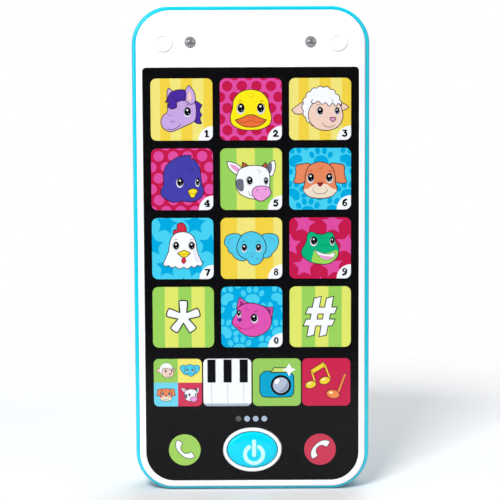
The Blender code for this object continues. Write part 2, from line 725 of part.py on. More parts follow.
def make_battery_door():
    """The door: a plate with two hooks at its bottom end and a screw boss at its top end."""
    pivot = (0, BACK, HINGE_Z)
    middle = (DOOR_BOTTOM + DOOR_TOP) / 2
    size = (2 * DOOR_HALF_WIDTH, DOOR_TOP - DOOR_BOTTOM)
    edge = 0.35 * MM
    outer = rounded_rect(size[0] - 2 * edge, size[1] - 2 * edge, 3 * MM - edge, z=middle, steps=4)
    full = rounded_rect(*size, 3 * MM, z=middle, steps=4)
    rings = [at_depth(full, DOOR_BACK), at_depth(full, BACK - edge), at_depth(outer, BACK)]
    door = loft("battery_door", rings, "teal_plastic", origin=pivot)
    overlap = 0.2 * MM
    joined = [cylinder(3.6 * MM, 0, DOOR_SCREW_Z, 8.2 * MM, DOOR_BACK + overlap)]
    for side in (-1, 1):
        x0, x1 = side * TAB_X - 2.5 * MM, side * TAB_X + 2.5 * MM
        hook_z, root_z = DOOR_BOTTOM - 2.1 * MM, DOOR_BOTTOM + GAP
        hook = [(hook_z, 8.1), (hook_z, 9.1), (root_z, 9.1), (root_z, 10.0)]
        hook += [(root_z + 2.2 * MM, 10.0), (root_z + 2.2 * MM, 8.1)]
        sides = [[Vector((x, y * MM, z)) for z, y in hook] for x in (x0, x1)]
        joined.append(sides)
    apply_boolean(door, "UNION", joined)
    well = [(2.8 * MM, BACK + GAP), (2.8 * MM, DOOR_BACK - 0.1 * MM)]
    well += [(HOLE_RADIUS, DOOR_BACK - 0.1 * MM), (HOLE_RADIUS, 8.0 * MM)]
    apply_boolean(door, "DIFFERENCE", [turned_rings(well, 0, DOOR_SCREW_Z, 12)])

    head, shank = (2.4 * MM, 1.3 * MM), (SCREW_RADIUS, 4.2 * MM)
    screw = make_screw("door_screw", 0, DOOR_SCREW_Z, BACK - 0.3 * MM, head, shank)
    screw.parent = door
    screw.location -= Vector(pivot)


def make_wires():
    """The leads from the battery plates and the speaker to the board's back."""
    radius = 0.5 * MM
    board = BOARD_BACK + GAP + radius
    routes = {
        "battery_wire_red": [(-6, 4, 83), (-7, 4, 86), (-9, 0, 91), (-10, board / MM, 94)],
        "battery_wire_black": [(6, 4, 83), (7, 4, 86), (9, 0, 91), (10, board / MM, 94)],
        "speaker_wire_red": [(-12, 1.5, 112), (-14, 0, 109), (-14, -2, 106)],
        "speaker_wire_black": [(12, 1.5, 112), (14, 0, 109), (14, -2, 106)],
    }
    for name, points in routes.items():
        if name.startswith("speaker"):
            points.append((points[-1][0], board / MM, 102))
        colour = name.rsplit("_", maxsplit=1)[-1]
        route = smooth_route([Vector(p) * MM for p in points], 10)
        tube(name, route, radius, f"{colour}_wire")


def main():
    clear_scene()
    make_front_housing()
    make_rear_housing()
    make_keypad_film()
    for place in key_places():
        make_key(*place)
    make_power_button()
    make_lamp("lamp_left", -LAMP_X)
    make_lamp("lamp_right", LAMP_X)
    make_dome_mat()
    make_board()
    make_screws()
    make_speaker()
    make_batteries()
    make_battery_door()
    make_wires()


main()
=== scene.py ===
"""The looks of the toy cell phone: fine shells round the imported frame, a glossy keypad
film with its printed keys, the lamps, the button, the parts at the back, and a plain
studio.

Lengths are in metres. Prints are drawn in millimetres from the centre of their key, with x
to the right and y up, as the user sees them.
"""

import math

import bmesh
import bpy
from mathutils import Matrix, Vector
from mathutils.geometry import tessellate_polygon


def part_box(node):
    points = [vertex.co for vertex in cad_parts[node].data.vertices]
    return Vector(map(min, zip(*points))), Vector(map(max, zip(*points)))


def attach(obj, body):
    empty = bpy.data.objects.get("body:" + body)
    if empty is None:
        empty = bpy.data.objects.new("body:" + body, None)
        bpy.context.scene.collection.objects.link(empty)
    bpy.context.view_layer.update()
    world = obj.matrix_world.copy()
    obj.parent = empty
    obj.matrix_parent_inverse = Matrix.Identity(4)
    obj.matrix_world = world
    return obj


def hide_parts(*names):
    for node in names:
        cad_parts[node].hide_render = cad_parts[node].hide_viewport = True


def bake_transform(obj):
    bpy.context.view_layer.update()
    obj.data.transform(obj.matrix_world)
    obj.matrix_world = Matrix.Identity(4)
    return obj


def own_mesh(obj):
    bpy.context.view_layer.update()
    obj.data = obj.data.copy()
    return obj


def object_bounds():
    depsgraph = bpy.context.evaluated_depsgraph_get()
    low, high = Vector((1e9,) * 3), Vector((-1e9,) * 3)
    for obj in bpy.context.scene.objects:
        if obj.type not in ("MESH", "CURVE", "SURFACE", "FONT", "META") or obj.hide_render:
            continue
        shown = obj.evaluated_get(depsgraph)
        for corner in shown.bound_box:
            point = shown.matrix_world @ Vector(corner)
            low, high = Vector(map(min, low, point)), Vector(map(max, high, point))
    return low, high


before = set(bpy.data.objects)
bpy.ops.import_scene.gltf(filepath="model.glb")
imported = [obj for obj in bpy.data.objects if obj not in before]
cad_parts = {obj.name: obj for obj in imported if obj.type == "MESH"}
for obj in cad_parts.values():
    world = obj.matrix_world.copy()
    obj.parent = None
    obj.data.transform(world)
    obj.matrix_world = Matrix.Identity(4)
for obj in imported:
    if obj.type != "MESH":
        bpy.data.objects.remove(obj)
cad_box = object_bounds()

MM = 0.001
ROOT = "phone_body"

# Levels and places from the frame
BODY_LOW, BODY_HIGH = cad_box
WIDTH = BODY_HIGH.x - BODY_LOW.x
HEIGHT = BODY_HIGH.z - BODY_LOW.z
FRONT = BODY_LOW.y
BACK = BODY_HIGH.y
FILM_LOW, FILM_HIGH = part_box("keypad_film")
FILM_TOP = FILM_LOW.y
FILM_BACK = FILM_HIGH.y
FILM_MIDDLE = (FILM_LOW + FILM_HIGH) / 2
FILM_WIDTH = FILM_HIGH.x - FILM_LOW.x
FILM_HEIGHT = FILM_HIGH.z - FILM_LOW.z
SHOULDER_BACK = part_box("front_housing")[1].y
RIM_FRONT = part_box("rear_housing")[0].y


def centre_of(node):
    low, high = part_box(node)
    return (low + high) / 2


# The same driving dimensions as the CAD model has
BEZEL = FRONT + 1.0 * MM
WALL = 2.0 * MM
GAP = 0.3 * MM
RECESS = FILM_BACK + 0.15 * MM
POCKET = RECESS + 0.5 * MM
FRONT_WALL_BACK = BEZEL + WALL
FRONT_LIP = FRONT_WALL_BACK + GAP
FILM_TOP_RADIUS, FILM_BOTTOM_RADIUS = 1.2 * MM, 9.6 * MM
KEY_POCKET_WIDTH = 70 * MM
KEY_POCKET_OVER = 11.7 * MM  # above the middle of the top row
KEY_POCKET_UNDER = 9.4 * MM  # below the middle of the app row
CALL_POCKET_RADIUS = 6.6 * MM
PLATE_RADIUS = 2 * MM
CORNER_RADIUS = 13 * MM
RIM_INSET = 1.4 * MM
BOTTOM_SHARE = 0.78
SHOULDER = -6.0 * MM
SKIRT, LEDGE = 2.3 * MM, 3.6 * MM  # insets of the front housing's two steps
BACK_WALL = BACK - WALL
OVERLAP = 0.1 * MM
DOOR_BACK = BACK - 1.7 * MM
DOOR_RADIUS = 3 * MM
DOOR_LOW, DOOR_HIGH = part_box("battery_door")
DOOR_BOTTOM = DOOR_LOW.z + 2.1 * MM  # the hooks reach that far below the plate
DOOR_MIDDLE = (DOOR_BOTTOM + DOOR_HIGH.z) / 2
DOOR_WIDTH, DOOR_HEIGHT = DOOR_HIGH.x - DOOR_LOW.x, DOOR_HIGH.z - DOOR_BOTTOM
BUTTON_A, BUTTON_B = 8.55 * MM, 6.2 * MM
COLLAR_A, COLLAR_B = 10.0 * MM, 7.7 * MM
LAMP_RADIUS = 1.8 * MM
RING_X = 29.3 * MM
SHANK_RADIUS = 1.3 * MM
HOLE_RADIUS = 1.6 * MM
CASE_HEAD_SEAT = 7.4 * MM
BAY_HALF_WIDTH = 11.1 * MM
BAY_BOTTOM, BAY_TOP = 30 * MM, 81 * MM
BAY_FLOOR = -1.7 * MM
BAY_WALL = 1.2 * MM
SPEAKER_RADIUS = 18 * MM
TAB_X = 8 * MM
DOME_HEIGHT = 1.0 * MM

KEY_NAMES = [f"key_{name}" for name in (*range(1, 10), "star", "0", "hash")]
APP_NAMES = [f"app_key_{name}" for name in ("animals", "piano", "camera", "music")]
CALL_NAMES = ["call_key", "hang_up_key"]
ALL_KEYS = KEY_NAMES + APP_NAMES + CALL_NAMES
LAMPS = ["lamp_left", "lamp_right"]

KEY_HALF = 10.42  # half a printed number key, in millimetres
APP_HALF = 8.22
CALL_PRINT = 5.45
INK_STEP = 0.008 * MM
LINE = 0.26  # width of a printed line, in millimetres
CORNER = "corner"


# ---------------------------------------------------------------- materials


def linear(hex_colour, gain=1.0):
    """A hex colour as the screen shows it, turned into light, and scaled."""
    values = [int(hex_colour[i : i + 2], 16) / 255 for i in (1, 3, 5)]
    light = [v / 12.92 if v <= 0.04045 else ((v + 0.055) / 1.055) ** 2.4 for v in values]
    return (*[min(1.0, v * gain) for v in light], 1.0)


def shader(name, roughness=0.3, metallic=0.0, coat=0.0, specular=0.5, ior=1.5):
    """A new material and its Principled BSDF."""
    made = bpy.data.materials.new(name)
    made.use_nodes = True
    principled = made.node_tree.nodes["Principled BSDF"]
    principled.inputs["Roughness"].default_value = roughness
    principled.inputs["Metallic"].default_value = metallic
    principled.inputs["Coat Weight"].default_value = coat
    principled.inputs["Coat Roughness"].default_value = 0.06
    principled.inputs["Specular IOR Level"].default_value = specular
    principled.inputs["IOR"].default_value = ior
    return made, principled


def add_node(made, kind, **values):
    """A node, with its attributes and sockets set by name."""
    node = made.node_tree.nodes.new(kind)
    for key, value in values.items():
        if hasattr(node, key):
            setattr(node, key, value)
        else:
            node.inputs[key.replace("_", " ")].default_value = value
    return node


def wire(tree, *pairs):
    """Links sockets. Each pair is (node, output, node, input)."""
    for source, output, target, socket in pairs:
        tree.links.new(source.outputs[output], target.inputs[socket])


def noise(made, scale, detail=3.0, stretch=(1, 1, 1)):
    """Noise fixed to the object: scale is in lumps per metre."""
    place = add_node(made, "ShaderNodeTexCoord")
    mapping = add_node(made, "ShaderNodeMapping")
    mapping.inputs["Scale"].default_value = stretch
    texture = add_node(made, "ShaderNodeTexNoise", Scale=scale, Detail=detail)
    wire(
        made.node_tree,
        (place, "Object", mapping, "Vector"),
        (mapping, "Vector", texture, "Vector"),
    )
    return texture.outputs["Fac"]


def ramp(made, value, stops):
    """A colour ramp over a value. Each stop is (place, colour)."""
    node = add_node(made, "ShaderNodeValToRGB")
    elements = node.color_ramp.elements
    elements[0].position, elements[0].color = stops[0]
    elements[1].position, elements[1].color = stops[-1]
    for place, colour in stops[1:-1]:
        elements.new(place).color = colour
    made.node_tree.links.new(value, node.inputs["Fac"])
    return node.outputs["Color"]


def mottle(made, principled, colour, scale, depth):
    """Colours the surface, a little darker and lighter in soft patches."""
    dark = (*[c * (1 - depth) for c in colour[:3]], 1)
    light = (*[min(1.0, c * (1 + depth)) for c in colour[:3]], 1)
    shade = ramp(made, noise(made, scale), [(0.3, dark), (0.7, light)])
    made.node_tree.links.new(shade, principled.inputs["Base Color"])


def uneven_gloss(made, principled, low, high, scale):
    """Roughness that wanders between two values, as handled plastic has."""
    grey = [(0.3, (low, low, low, 1)), (0.72, (high, high, high, 1))]
    shade = ramp(made, noise(made, scale, detail=4), grey)
    made.node_tree.links.new(shade, principled.inputs["Roughness"])


def bump(made, principled, height, strength, distance):
    node = add_node(made, "ShaderNodeBump", Strength=strength, Distance=distance)
    made.node_tree.links.new(height, node.inputs["Height"])
    made.node_tree.links.new(node.outputs["Normal"], principled.inputs["Normal"])


def soften(principled, weight, scale):
    """Lets a little light into the surface."""
    principled.inputs["Subsurface Weight"].default_value = weight
    principled.inputs["Subsurface Radius"].default_value = (1.0, 1.0, 1.0)
    principled.inputs["Subsurface Scale"].default_value = scale


def moulded_plastic(name, colour, low=0.16, high=0.26, coat=0.35, depth=0.015, specular=0.5):
    """Glossy injection-moulded plastic: a soft orange peel and handled patches."""
    made, principled = shader(name, coat=coat, specular=specular)
    mottle(made, principled, colour, 45, depth)
    uneven_gloss(made, principled, low, high, 120)
    bump(made, principled, noise(made, 900, detail=2), 0.12, 0.00002)
    soften(principled, 0.06, 0.0006)
    return made


def glossy_print(name, colour):
    """Ink under the film's clear gloss, with the fine grain of a printed sheet."""
    made, principled = shader(name, roughness=0.16, specular=0.15)
    mottle(made, principled, colour, 2600, 0.035)
    return made


def metal(name, colour, roughness=0.28, brushed=(1, 1, 1)):
    made, principled = shader(name, roughness=roughness, metallic=1.0)
    mottle(made, principled, colour, 400, 0.08)
    streaks = noise(made, 1500, detail=3, stretch=brushed)
    bump(made, principled, streaks, 0.15, 0.00003)
    uneven_gloss(made, principled, roughness * 0.7, roughness * 1.3, 500)
    return made


def dull(name, colour, roughness=0.6, grain=1800, strength=0.25):
    made, principled = shader(name, roughness=roughness)
    mottle(made, principled, colour, grain / 8, 0.06)
    bump(made, principled, noise(made, grain, detail=4), strength, 0.00004)
    return made


def board_material():
    """Green solder mask with copper tracks that show through it."""
    made, principled = shader("solder_mask", roughness=0.32, coat=0.3)
    place = add_node(made, "ShaderNodeTexCoord")
    tracks = add_node(made, "ShaderNodeTexBrick", Scale=120.0, Mortar_Size=0.06)
    tracks.inputs["Color1"].default_value = (0.012, 0.14, 0.045, 1)
    tracks.inputs["Color2"].default_value = (0.016, 0.17, 0.055, 1)
    tracks.inputs["Mortar"].default_value = (0.03, 0.28, 0.09, 1)
    turn = add_node(made, "ShaderNodeMapping")
    turn.inputs["Rotation"].default_value = (math.radians(90), 0, 0)
    wire(
        made.node_tree,
        (place, "Object", turn, "Vector"),
        (turn, "Vector", tracks, "Vector"),
        (tracks, "Color", principled, "Base Color"),
    )
    return made


def lens_material():
    """Smoky clear resin of an unlit lamp."""
    made, principled = shader("lamp_resin", roughness=0.25, coat=1.0)
    principled.inputs["Coat Roughness"].default_value = 0.025
    principled.inputs["Coat IOR"].default_value = 2.5
    mottle(made, principled, (0.165, 0.17, 0.18, 1), 900, 0.08)
    soften(principled, 0.3, 0.0012)
    return made


def sleeve_material(plus_up):
    """A dry cell's printed sleeve: plain green with a silver band by its plus end."""
    made, principled = shader(f"sleeve_{'up' if plus_up else 'down'}", metallic=0.4, coat=0.5)
    green, silver = linear("#3f8f58"), linear("#c9ced2")
    stops = [(0.0, green), (0.84, green), (0.845, silver), (1.0, silver)]
    if not plus_up:
        stops = [(1.0 - place, colour) for place, colour in reversed(stops)]
    place = add_node(made, "ShaderNodeTexCoord")
    split = add_node(made, "ShaderNodeSeparateXYZ")
    links = made.node_tree.links
    links.new(place.outputs["Generated"], split.inputs["Vector"])
    links.new(ramp(made, split.outputs["Z"], stops), principled.inputs["Base Color"])
    uneven_gloss(made, principled, 0.24, 0.36, 300)
    return made


# ---------------------------------------------------------------- outlines and solids


def rounded_rect(width, height, radius, x=0.0, z=0.0, steps=20, bottom_radius=None):
    """A rectangle centred on (x, z) with round corners, counter-clockwise from the front."""
    bottom_radius = radius if bottom_radius is None else bottom_radius
    points = []
    for turn, (sx, sz) in enumerate(((1, 1), (-1, 1), (-1, -1), (1, -1))):
        r = radius if sz > 0 else bottom_radius
        corner = (x + sx * (width / 2 - r), z + sz * (height / 2 - r))
        for step in range(steps + 1):
            angle = math.radians(90) * (turn + step / steps)
            points.append((corner[0] + r * math.cos(angle), corner[1] + r * math.sin(angle)))
    return points


def oval(a, b, x=0.0, z=0.0, steps=64):
    turn = 2 * math.pi / steps
    return [(x + a * math.cos(turn * i), z + b * math.sin(turn * i)) for i in range(steps)]


def body_outline(inset):
    """The body's outline moved inwards, and less so along its bottom edge."""
    low, high = BOTTOM_SHARE * inset, HEIGHT - inset
    radius = CORNER_RADIUS - inset
    return rounded_rect(WIDTH - 2 * inset, high - low, radius, z=(low + high) / 2)


def film_outline(grow=0.0):
    return rounded_rect(
        FILM_WIDTH + 2 * grow,
        FILM_HEIGHT + 2 * grow,
        FILM_TOP_RADIUS + grow,
        z=FILM_MIDDLE.z,
        steps=14,
        bottom_radius=FILM_BOTTOM_RADIUS + grow,
    )


def door_outline(grow=0.0):
    """The outline of the battery door's plate, grown by a length."""
    width, height = DOOR_WIDTH + 2 * grow, DOOR_HEIGHT + 2 * grow
    return rounded_rect(width, height, DOOR_RADIUS + grow, z=DOOR_MIDDLE, steps=10)


def at_depth(outline, y):
    return [Vector((x, y, z)) for x, z in outline]


def turned(profile, x, z, steps=40):
    """Rings round a front-to-back axis, from a profile of (radius, y)."""
    return [at_depth(oval(r, r, x, z, steps), y) for r, y in profile]


def peg(radius, y0, y1, x, z, steps=40):
    """A plain round solid that runs from front to back."""
    return turned([(radius, y0), (radius, y1)], x, z, steps)


def upright(profile, x, y, steps=40):
    """Rings round a vertical axis, from a profile of (radius, z)."""
    rings = []
    for r, z in profile:
        rings.append([Vector((x + u, y + v, z)) for u, v in oval(r, r, steps=steps)])
    return rings


def prism(outline, y0, y1):
    return [at_depth(outline, y0), at_depth(outline, y1)]


def box(x0, x1, y0, y1, z0, z1):
    return prism([(x0, z0), (x1, z0), (x1, z1), (x0, z1)], y0, y1)


def quarter(count):
    """Angles from 0 to 90 degrees, in radians."""
    return [math.radians(90) * i / count for i in range(count + 1)]


def add_loft(bm, rings, closed=False):
    """Skins a run of rings. It caps the two ends, unless the last ring joins the first."""
    loops = [[bm.verts.new(point) for point in ring] for ring in rings]
    count = len(loops[0])
    pairs = list(zip(loops, loops[1:]))
    if closed:
        pairs.append((loops[-1], loops[0]))
    faces = []
    for first, second in pairs:
        for i in range(count):
            j = (i + 1) % count
            faces.append(bm.faces.new((first[i], first[j], second[j], second[i])))
    if not closed:
        faces.append(bm.faces.new(loops[0]))
        faces.append(bm.faces.new(loops[-1]))
    bmesh.ops.recalc_face_normals(bm, faces=faces)


def new_object(name, bm, materials=(), sharp=35):
    mesh = bpy.data.meshes.new(name)
    bm.to_mesh(mesh)
    bm.free()
    mesh.shade_smooth()
    mesh.set_sharp_from_angle(angle=math.radians(sharp))
    for made in materials:
        mesh.materials.append(made)
    obj = bpy.data.objects.new(name, mesh)
    bpy.context.scene.collection.objects.link(obj)
    return obj


def solid(name, solids, materials=(), closed=False, sharp=35):
    """An object made of one or more lofts."""
    bm = bmesh.new()
    for rings in solids:
        add_loft(bm, rings, closed)
    return new_object(name, bm, materials, sharp)


def apply_modifiers(obj):
    """Keeps what the modifiers make as the object's own mesh."""
    bpy.context.view_layer.update()
    graph = bpy.context.evaluated_depsgraph_get()
    old = obj.data
    made = bpy.data.meshes.new_from_object(obj.evaluated_get(graph))
    obj.modifiers.clear()
    obj.data = made
    made.name = obj.name
    bpy.data.meshes.remove(old)


def carve(obj, operation, solids, closed=False):
    """Cuts or joins simple solids, and leaves no helper behind."""
    helper = solid(f"{obj.name}_helper", solids, closed=closed)
    modifier = obj.modifiers.new("carve", "BOOLEAN")
    modifier.operation = operation
    modifier.object = helper
    apply_modifiers(obj)
    bpy.data.objects.remove(helper, do_unlink=True)


def even_shading(obj, sharp=35):
    """Flat faces stay flat and small rounds blend into them."""
    obj.data.shade_smooth()
    obj.data.set_sharp_from_angle(angle=math.radians(sharp))
    modifier = obj.modifiers.new("even_shading", "WEIGHTED_NORMAL")
    modifier.keep_sharp = True
    modifier.weight = 100


def chamfered_hole(outline_at, y_open, y_end, lip, way):
    """A cutter whose mouth flares by lip. outline_at gives the outline grown by a length."""
    return [
        at_depth(outline_at(2 * lip), y_open - way * lip),
        at_depth(outline_at(lip), y_open),
        at_depth(outline_at(0.3 * lip), y_open + way * 0.4 * lip),
        at_depth(outline_at(0.0), y_open + way * lip),
        at_depth(outline_at(0.0), y_end),
    ]


# ---------------------------------------------------------------- shells


def key_window(node):
    """The outline of a key plate without its flange, with the clearance of its window."""
    low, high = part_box(node)
    flange = 0.7 * MM
    size = high.x - low.x - 2 * flange + 2 * GAP
    x, z = (low.x + high.x) / 2, (low.z + high.z) / 2
    if node in CALL_NAMES:
        return rounded_rect(size, size, size / 2 - 0.01 * MM, x, z, steps=10)
    return rounded_rect(size, size, PLATE_RADIUS + GAP, x, z, steps=4)


def front_shell(material):
    """The white bezel, with its film seat, collar, rings, lamp holes and key windows."""
    side, film_play = RIM_INSET + 0.03 * MM, 0.12 * MM
    edge_width, edge_depth = 1.2 * MM, 1.1 * MM
    profile = [
        (side + edge_width * (1 - math.sin(a)), BEZEL + edge_depth * (1 - math.cos(a)))
        for a in quarter(9)
    ]
    profile += [(side, SHOULDER), (SKIRT, SHOULDER), (SKIRT, SHOULDER_BACK)]
    profile += [(LEDGE, SHOULDER_BACK), (LEDGE, FRONT_WALL_BACK)]
    rings = [at_depth(body_outline(inset), y) for inset, y in profile]
    shell = solid("front_shell", [rings], [material])
    seat = chamfered_hole(
        lambda grow: film_outline(film_play + grow), BEZEL, RECESS, film_play, 1
    )
    carve(shell, "DIFFERENCE", [seat])
    carve(shell, "DIFFERENCE", film_pockets())
    carve(shell, "UNION", [collar_rings()], closed=True)
    carve(shell, "UNION", [ring_boss(way) for way in (-1, 1)])
    carve(shell, "DIFFERENCE", front_holes())
    even_shading(shell)
    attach(shell, ROOT)
    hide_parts("front_housing")


def film_pockets():
    """Cutters that make the film's seat deeper where the film follows its keys."""
    top = centre_of("key_1").z + KEY_POCKET_OVER
    bottom = centre_of("app_key_piano").z - KEY_POCKET_UNDER
    middle = (top + bottom) / 2
    pocket = rounded_rect(KEY_POCKET_WIDTH, top - bottom, PLATE_RADIUS, z=middle, steps=4)
    pockets = [prism(pocket, FRONT, POCKET)]
    for node in CALL_NAMES:
        place = centre_of(node)
        pockets.append(peg(CALL_POCKET_RADIUS, FRONT, POCKET, place.x, place.z, 64))
    return pockets


def front_holes():
    """Cutters for the key windows, the button and the lamps."""
    cuts = [prism(key_window(node), FRONT, FRONT_LIP) for node in ALL_KEYS]
    button, button_play = centre_of("power_button"), 0.25 * MM
    hole = oval(BUTTON_A + button_play, BUTTON_B + button_play, button.x, button.z)
    cuts.append(prism(hole, FRONT - GAP, FRONT_LIP))
    lamp_play, lamp_lip = 0.04 * MM, 0.15 * MM
    for node in LAMPS:
        place = centre_of(node)

        def outline(grow, x=place.x, z=place.z):
            radius = LAMP_RADIUS + lamp_play + grow
            return oval(radius, radius, x, z, 40)

        cuts.append(chamfered_hole(outline, BEZEL, FRONT_LIP, lamp_lip, 1))
    return cuts


def collar_rings():
    """The rounded ring that stands round the power button, as a closed loft."""
    place = centre_of("power_button")
    inner = 0.22 * MM
    width = COLLAR_A - BUTTON_A - inner
    top, rounding, steps = BEZEL - 0.5 * MM, 0.72 * MM, 12
    profile = []
    for i in range(steps + 1):
        angle = math.pi * i / steps
        offset = inner + width / 2 * (1 - math.cos(angle))
        profile.append((offset, top + rounding * (1 - math.sin(angle))))
    foot = RECESS + 0.5 * MM
    profile += [(inner + width, foot), (inner, foot)]
    rings = []
    for offset, y in profile:
        rings.append(at_depth(oval(BUTTON_A + offset, BUTTON_B + offset, place.x, place.z), y))
    return rings


def ring_boss(side):
    """A moulded camera: a low round pad with a groove round its lens."""
    z = centre_of("lamp_left").z
    levels = [(0.6, 0.42), (1.88, 0.42), (1.96, 0.22), (2.06, 0.22), (2.16, 0.5), (2.35, 0.58)]
    levels += [(2.85, 0.55), (3.15, 0.4), (3.33, 0.15), (3.4, -0.6)]
    profile = [(r * MM, BEZEL - rise * MM) for r, rise in levels]
    return turned(profile, side * RING_X, z, 56)


def rear_shell(material):
    """The teal tub, with the battery bay, speaker seat and grille, posts and wells."""
    rings = [at_depth(body_outline(inset), y) for inset, y in tub_profile()]
    shell = solid("rear_shell", [rings], [material])
    bay_x = BAY_HALF_WIDTH + BAY_WALL
    bay = (BAY_BOTTOM - BAY_WALL, BAY_TOP + BAY_WALL)
    back = BACK_WALL + OVERLAP
    carve(shell, "UNION", [box(-bay_x, bay_x, BAY_FLOOR - BAY_WALL, back, *bay)])
    margin, bed_depth = 1.5 * MM, 1.6 * MM
    bed_x, bed_front = DOOR_HIGH.x + margin, BACK_WALL - bed_depth
    bed = (DOOR_BOTTOM - margin, DOOR_HIGH.z + margin)
    carve(shell, "UNION", [box(-bed_x, bed_x, bed_front, back, *bed)])
    screws = [centre_of(f"case_screw_{i}") for i in range(1, 5)]
    carve(shell, "UNION", rear_posts(screws))
    carve(shell, "DIFFERENCE", rear_wells(screws))
    gap = 0.2 * MM
    opening = chamfered_hole(lambda grow: door_outline(gap + grow), BACK, BACK_WALL, gap, -1)
    carve(shell, "DIFFERENCE", [opening])
    carve(shell, "DIFFERENCE", rear_holes())
    even_shading(shell)
    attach(shell, ROOT)
    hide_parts("rear_housing")


def tub_profile():
    """(inset, y) from the floor of the tub inside, round its rim, to the back."""
    back_round, inner_round, inner_start = 5.0 * MM, 3.5 * MM, 6.0 * MM
    shoulder, lip = SHOULDER + 0.2 * MM, 0.08 * MM
    rim_width, rim_depth = 1.0 * MM, 1.3 * MM
    inner = [
        (WALL + inner_round * (1 - math.cos(a)), inner_start + inner_round * math.sin(a))
        for a in reversed(quarter(6))
    ]
    rim = [(WALL, shoulder), (RIM_INSET, shoulder), (RIM_INSET, RIM_FRONT + lip)]
    rim.append((RIM_INSET - lip, RIM_FRONT))
    rim += [
        (rim_width * (1 - math.sin(a)), RIM_FRONT + rim_depth * (1 - math.cos(a)))
        for a in quarter(8)
    ]
    outer = [
        (back_round * (1 - math.cos(a)), BACK - (1 - math.sin(a)) * back_round)
        for a in quarter(12)
    ]
    return inner + rim + outer


def rear_posts(screws):
    """What stands in the tub: screw posts, the door screw's boss and the speaker's seat."""
    back = BACK_WALL + OVERLAP
    post_radius, boss_radius, speaker_wall = 3.6 * MM, 4.3 * MM, 1.8 * MM
    post_front, boss_front, seat_front = -2.4 * MM, 2.5 * MM, 5.5 * MM
    posts = [peg(post_radius, post_front, back, p.x, p.z) for p in screws]
    posts.append(peg(boss_radius, boss_front, 8 * MM, 0, centre_of("door_screw").z))
    seat_z = centre_of("speaker_frame").z
    posts.append(peg(SPEAKER_RADIUS + speaker_wall, seat_front, back, 0, seat_z, 72))
    return posts


def rear_wells(screws):
    """Cutters for the speaker, the cells and the case screws."""
    speaker = centre_of("speaker_frame")
    cuts = [peg(SPEAKER_RADIUS + GAP, 5.0 * MM, BACK_WALL, 0, speaker.z, 72)]
    cuts.append(box(-BAY_HALF_WIDTH, BAY_HALF_WIDTH, BAY_FLOOR, BACK, BAY_BOTTOM, BAY_TOP))
    mouth = [(3.2, -0.3), (2.95, 0.0), (2.75, 0.15), (2.7, 0.4)]  # radius, depth
    well = [(r * MM, BACK - depth * MM) for r, depth in mouth]
    well_end = -3.0 * MM
    well += [(2.7 * MM, CASE_HEAD_SEAT), (HOLE_RADIUS, CASE_HEAD_SEAT), (HOLE_RADIUS, well_end)]
    return cuts + [turned(well, p.x, p.z) for p in screws]


def rear_holes():
    """Cutters for the grille, the door screw's boss and the slots of the door's hooks."""
    speaker = centre_of("speaker_frame")
    cuts = [grille_hole(x, speaker.z + z) for x, z in grille_places()]
    bore, bore_end, hole_end = 4.0 * MM, 7.9 * MM, 4.0 * MM
    boss_hole = [(bore, BACK_WALL + OVERLAP), (bore, bore_end)]
    boss_hole += [(HOLE_RADIUS, bore_end), (HOLE_RADIUS, hole_end)]
    cuts.append(turned(boss_hole, 0, centre_of("door_screw").z))
    slot_half, slot_front, slot_bottom = 3.1 * MM, 7.0 * MM, BAY_BOTTOM - 7.1 * MM
    for side in (-1, 1):
        slot = (side * TAB_X - slot_half, side * TAB_X + slot_half)
        cuts.append(box(*slot, slot_front, BACK_WALL, slot_bottom, BAY_BOTTOM + GAP))
    return cuts


def grille_places():
    """Places of the speaker's sound holes: one in the middle and two rings."""
    places = [(0.0, 0.0)]
    for radius, count in ((4.5 * MM, 6), (9.0 * MM, 10)):
        for i in range(count):
            angle = 2 * math.pi * (i + 0.5) / count
            places.append((radius * math.cos(angle), radius * math.sin(angle)))
    return places


def grille_hole(x, z):
    mouth = [(1.8, -0.3), (1.5, 0.0), (1.28, 0.15), (1.2, 0.4)]  # radius, depth
    profile = [(r * MM, BACK - depth * MM) for r, depth in mouth]
    return turned([*profile, (1.2 * MM, BACK_WALL - GAP)], x, z, 28)


def battery_door(material):
    """The door: a rounded plate with grip grooves, two hooks and a screw boss."""
    rings = [at_depth(door_outline(), DOOR_BACK)]
    edge = 0.35 * MM
    for a in quarter(4):
        outline = door_outline(-edge * (1 - math.cos(a)))
        rings.append(at_depth(outline, BACK - edge * (1 - math.sin(a))))
    door = solid("battery_door_plate", [rings], [material])
    screw_z = centre_of("door_screw").z
    boss_radius, boss_front = 3.6 * MM, 8.2 * MM
    joined = [peg(boss_radius, boss_front, DOOR_BACK + 0.2 * MM, 0, screw_z)]
    joined += [door_hook(side) for side in (-1, 1)]
    carve(door, "UNION", joined)
    head_radius, head_seat = 2.8 * MM, DOOR_BACK - 0.1 * MM
    well = [(3.2 * MM, BACK + GAP), (3.0 * MM, BACK), (head_radius, BACK - 0.2 * MM)]
    well += [(head_radius, head_seat), (HOLE_RADIUS, head_seat), (HOLE_RADIUS, 8.0 * MM)]
    cuts = [turned(well, 0, screw_z)]
    groove_length, groove_width, groove_depth = 14 * MM, 1.0 * MM, 0.3 * MM
    for i in range(5):
        z = DOOR_BOTTOM + (6 + 2.2 * i) * MM
        groove = rounded_rect(groove_length, groove_width, 0.49 * MM, z=z, steps=6)
        cuts.append(prism(groove, BACK - groove_depth, BACK + GAP))
    carve(door, "DIFFERENCE", cuts)
    even_shading(door)
    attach(door, "battery_door")
    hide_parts("battery_door")


